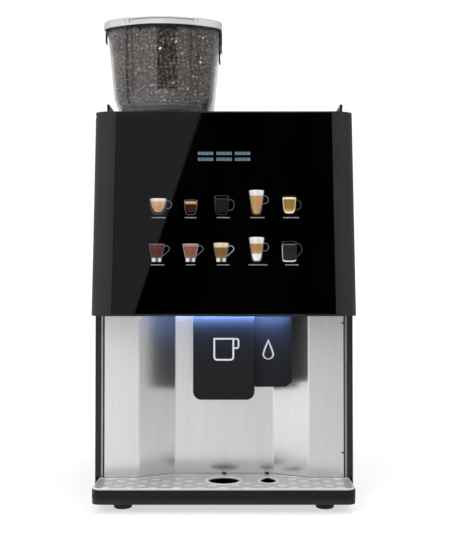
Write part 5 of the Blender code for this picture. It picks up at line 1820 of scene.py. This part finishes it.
# the blue strip's light: one for the covers, one on the panel, and its sheen
spout_covers = bpy.data.collections.new("light_on_covers")
for cover in ("cup_spout_cover", "water_spout_cover"):
    spout_covers.objects.link(NODES[cover])
# tag, place, target, share of the power, seen only in reflections
DOOR_LIGHTS = (
    ("front", (-0.01, -0.2478, 0.2824), (-0.01, -0.2000, 0.2560), 2.4, False),
    ("back", (-0.01, -0.2420, 0.2818), (-0.01, -0.2000, 0.2770), 0.22, False),
    ("sheen", (-0.01, -0.2420, 0.2815), (-0.01, -0.2000, 0.2770), 0.006, True),
)
for tag, place, target, share, glossy in DOOR_LIGHTS:
    glow = area(
        "door_light_" + tag, place, target, size=0.21, power=LED_POWER * share,
        colour=LED_BLUE, glossy=glossy, size_y=0.005,
    )
    if tag == "front":
        glow.light_linking.receiver_collection = spout_covers
    else:
        glow.data.spread = math.radians(80)
        glow.visible_diffuse = not glossy
    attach(glow, "door")


# ------------------------------------------------------------------ world and camera
def studio_world():
    """Even light, a left-to-right ramp in reflections, and white to the camera."""
    world = bpy.data.worlds.new("studio")
    SCENE.world = world
    world.use_nodes = True
    tree = world.node_tree
    tree.nodes.clear()
    ray = node(tree, "LightPath").outputs
    x = split_axes(tree, node(tree, "TexCoord").outputs["Generated"])["X"]
    sides = colour_ramp(tree, remap(tree, x, span=(-0.9, 0.9)), SIDE_LIGHT)
    grey = node(tree, "RGBToBW", {0: sides}).outputs[0]
    # inputs 2 and 3 are the number sockets of a Mix node
    lighting = node(tree, "Mix", {0: ray["Is Glossy Ray"], 2: WORLD_DIFFUSE, 3: grey}).outputs[0]
    strength = node(tree, "Mix", {0: ray["Is Camera Ray"], 2: lighting, 3: 1.05}).outputs[0]
    background = node(tree, "Background", {"Strength": strength})
    node(tree, "OutputWorld", {0: background.outputs[0]})


studio_world()
SCENE.view_settings.view_transform = "Standard"
SCENE.view_settings.look = "None"

camera_data = bpy.data.cameras.new("camera")
camera_data.sensor_width = 36.0
camera_data.lens = 58.99
camera = bpy.data.objects.new("camera", camera_data)
SCENE.collection.objects.link(camera)
camera.location = (0.012, -1.5305, 0.328)
camera.rotation_euler = (math.radians(91.07), 0, 0)
SCENE.camera = camera

bpy.context.view_layer.update()
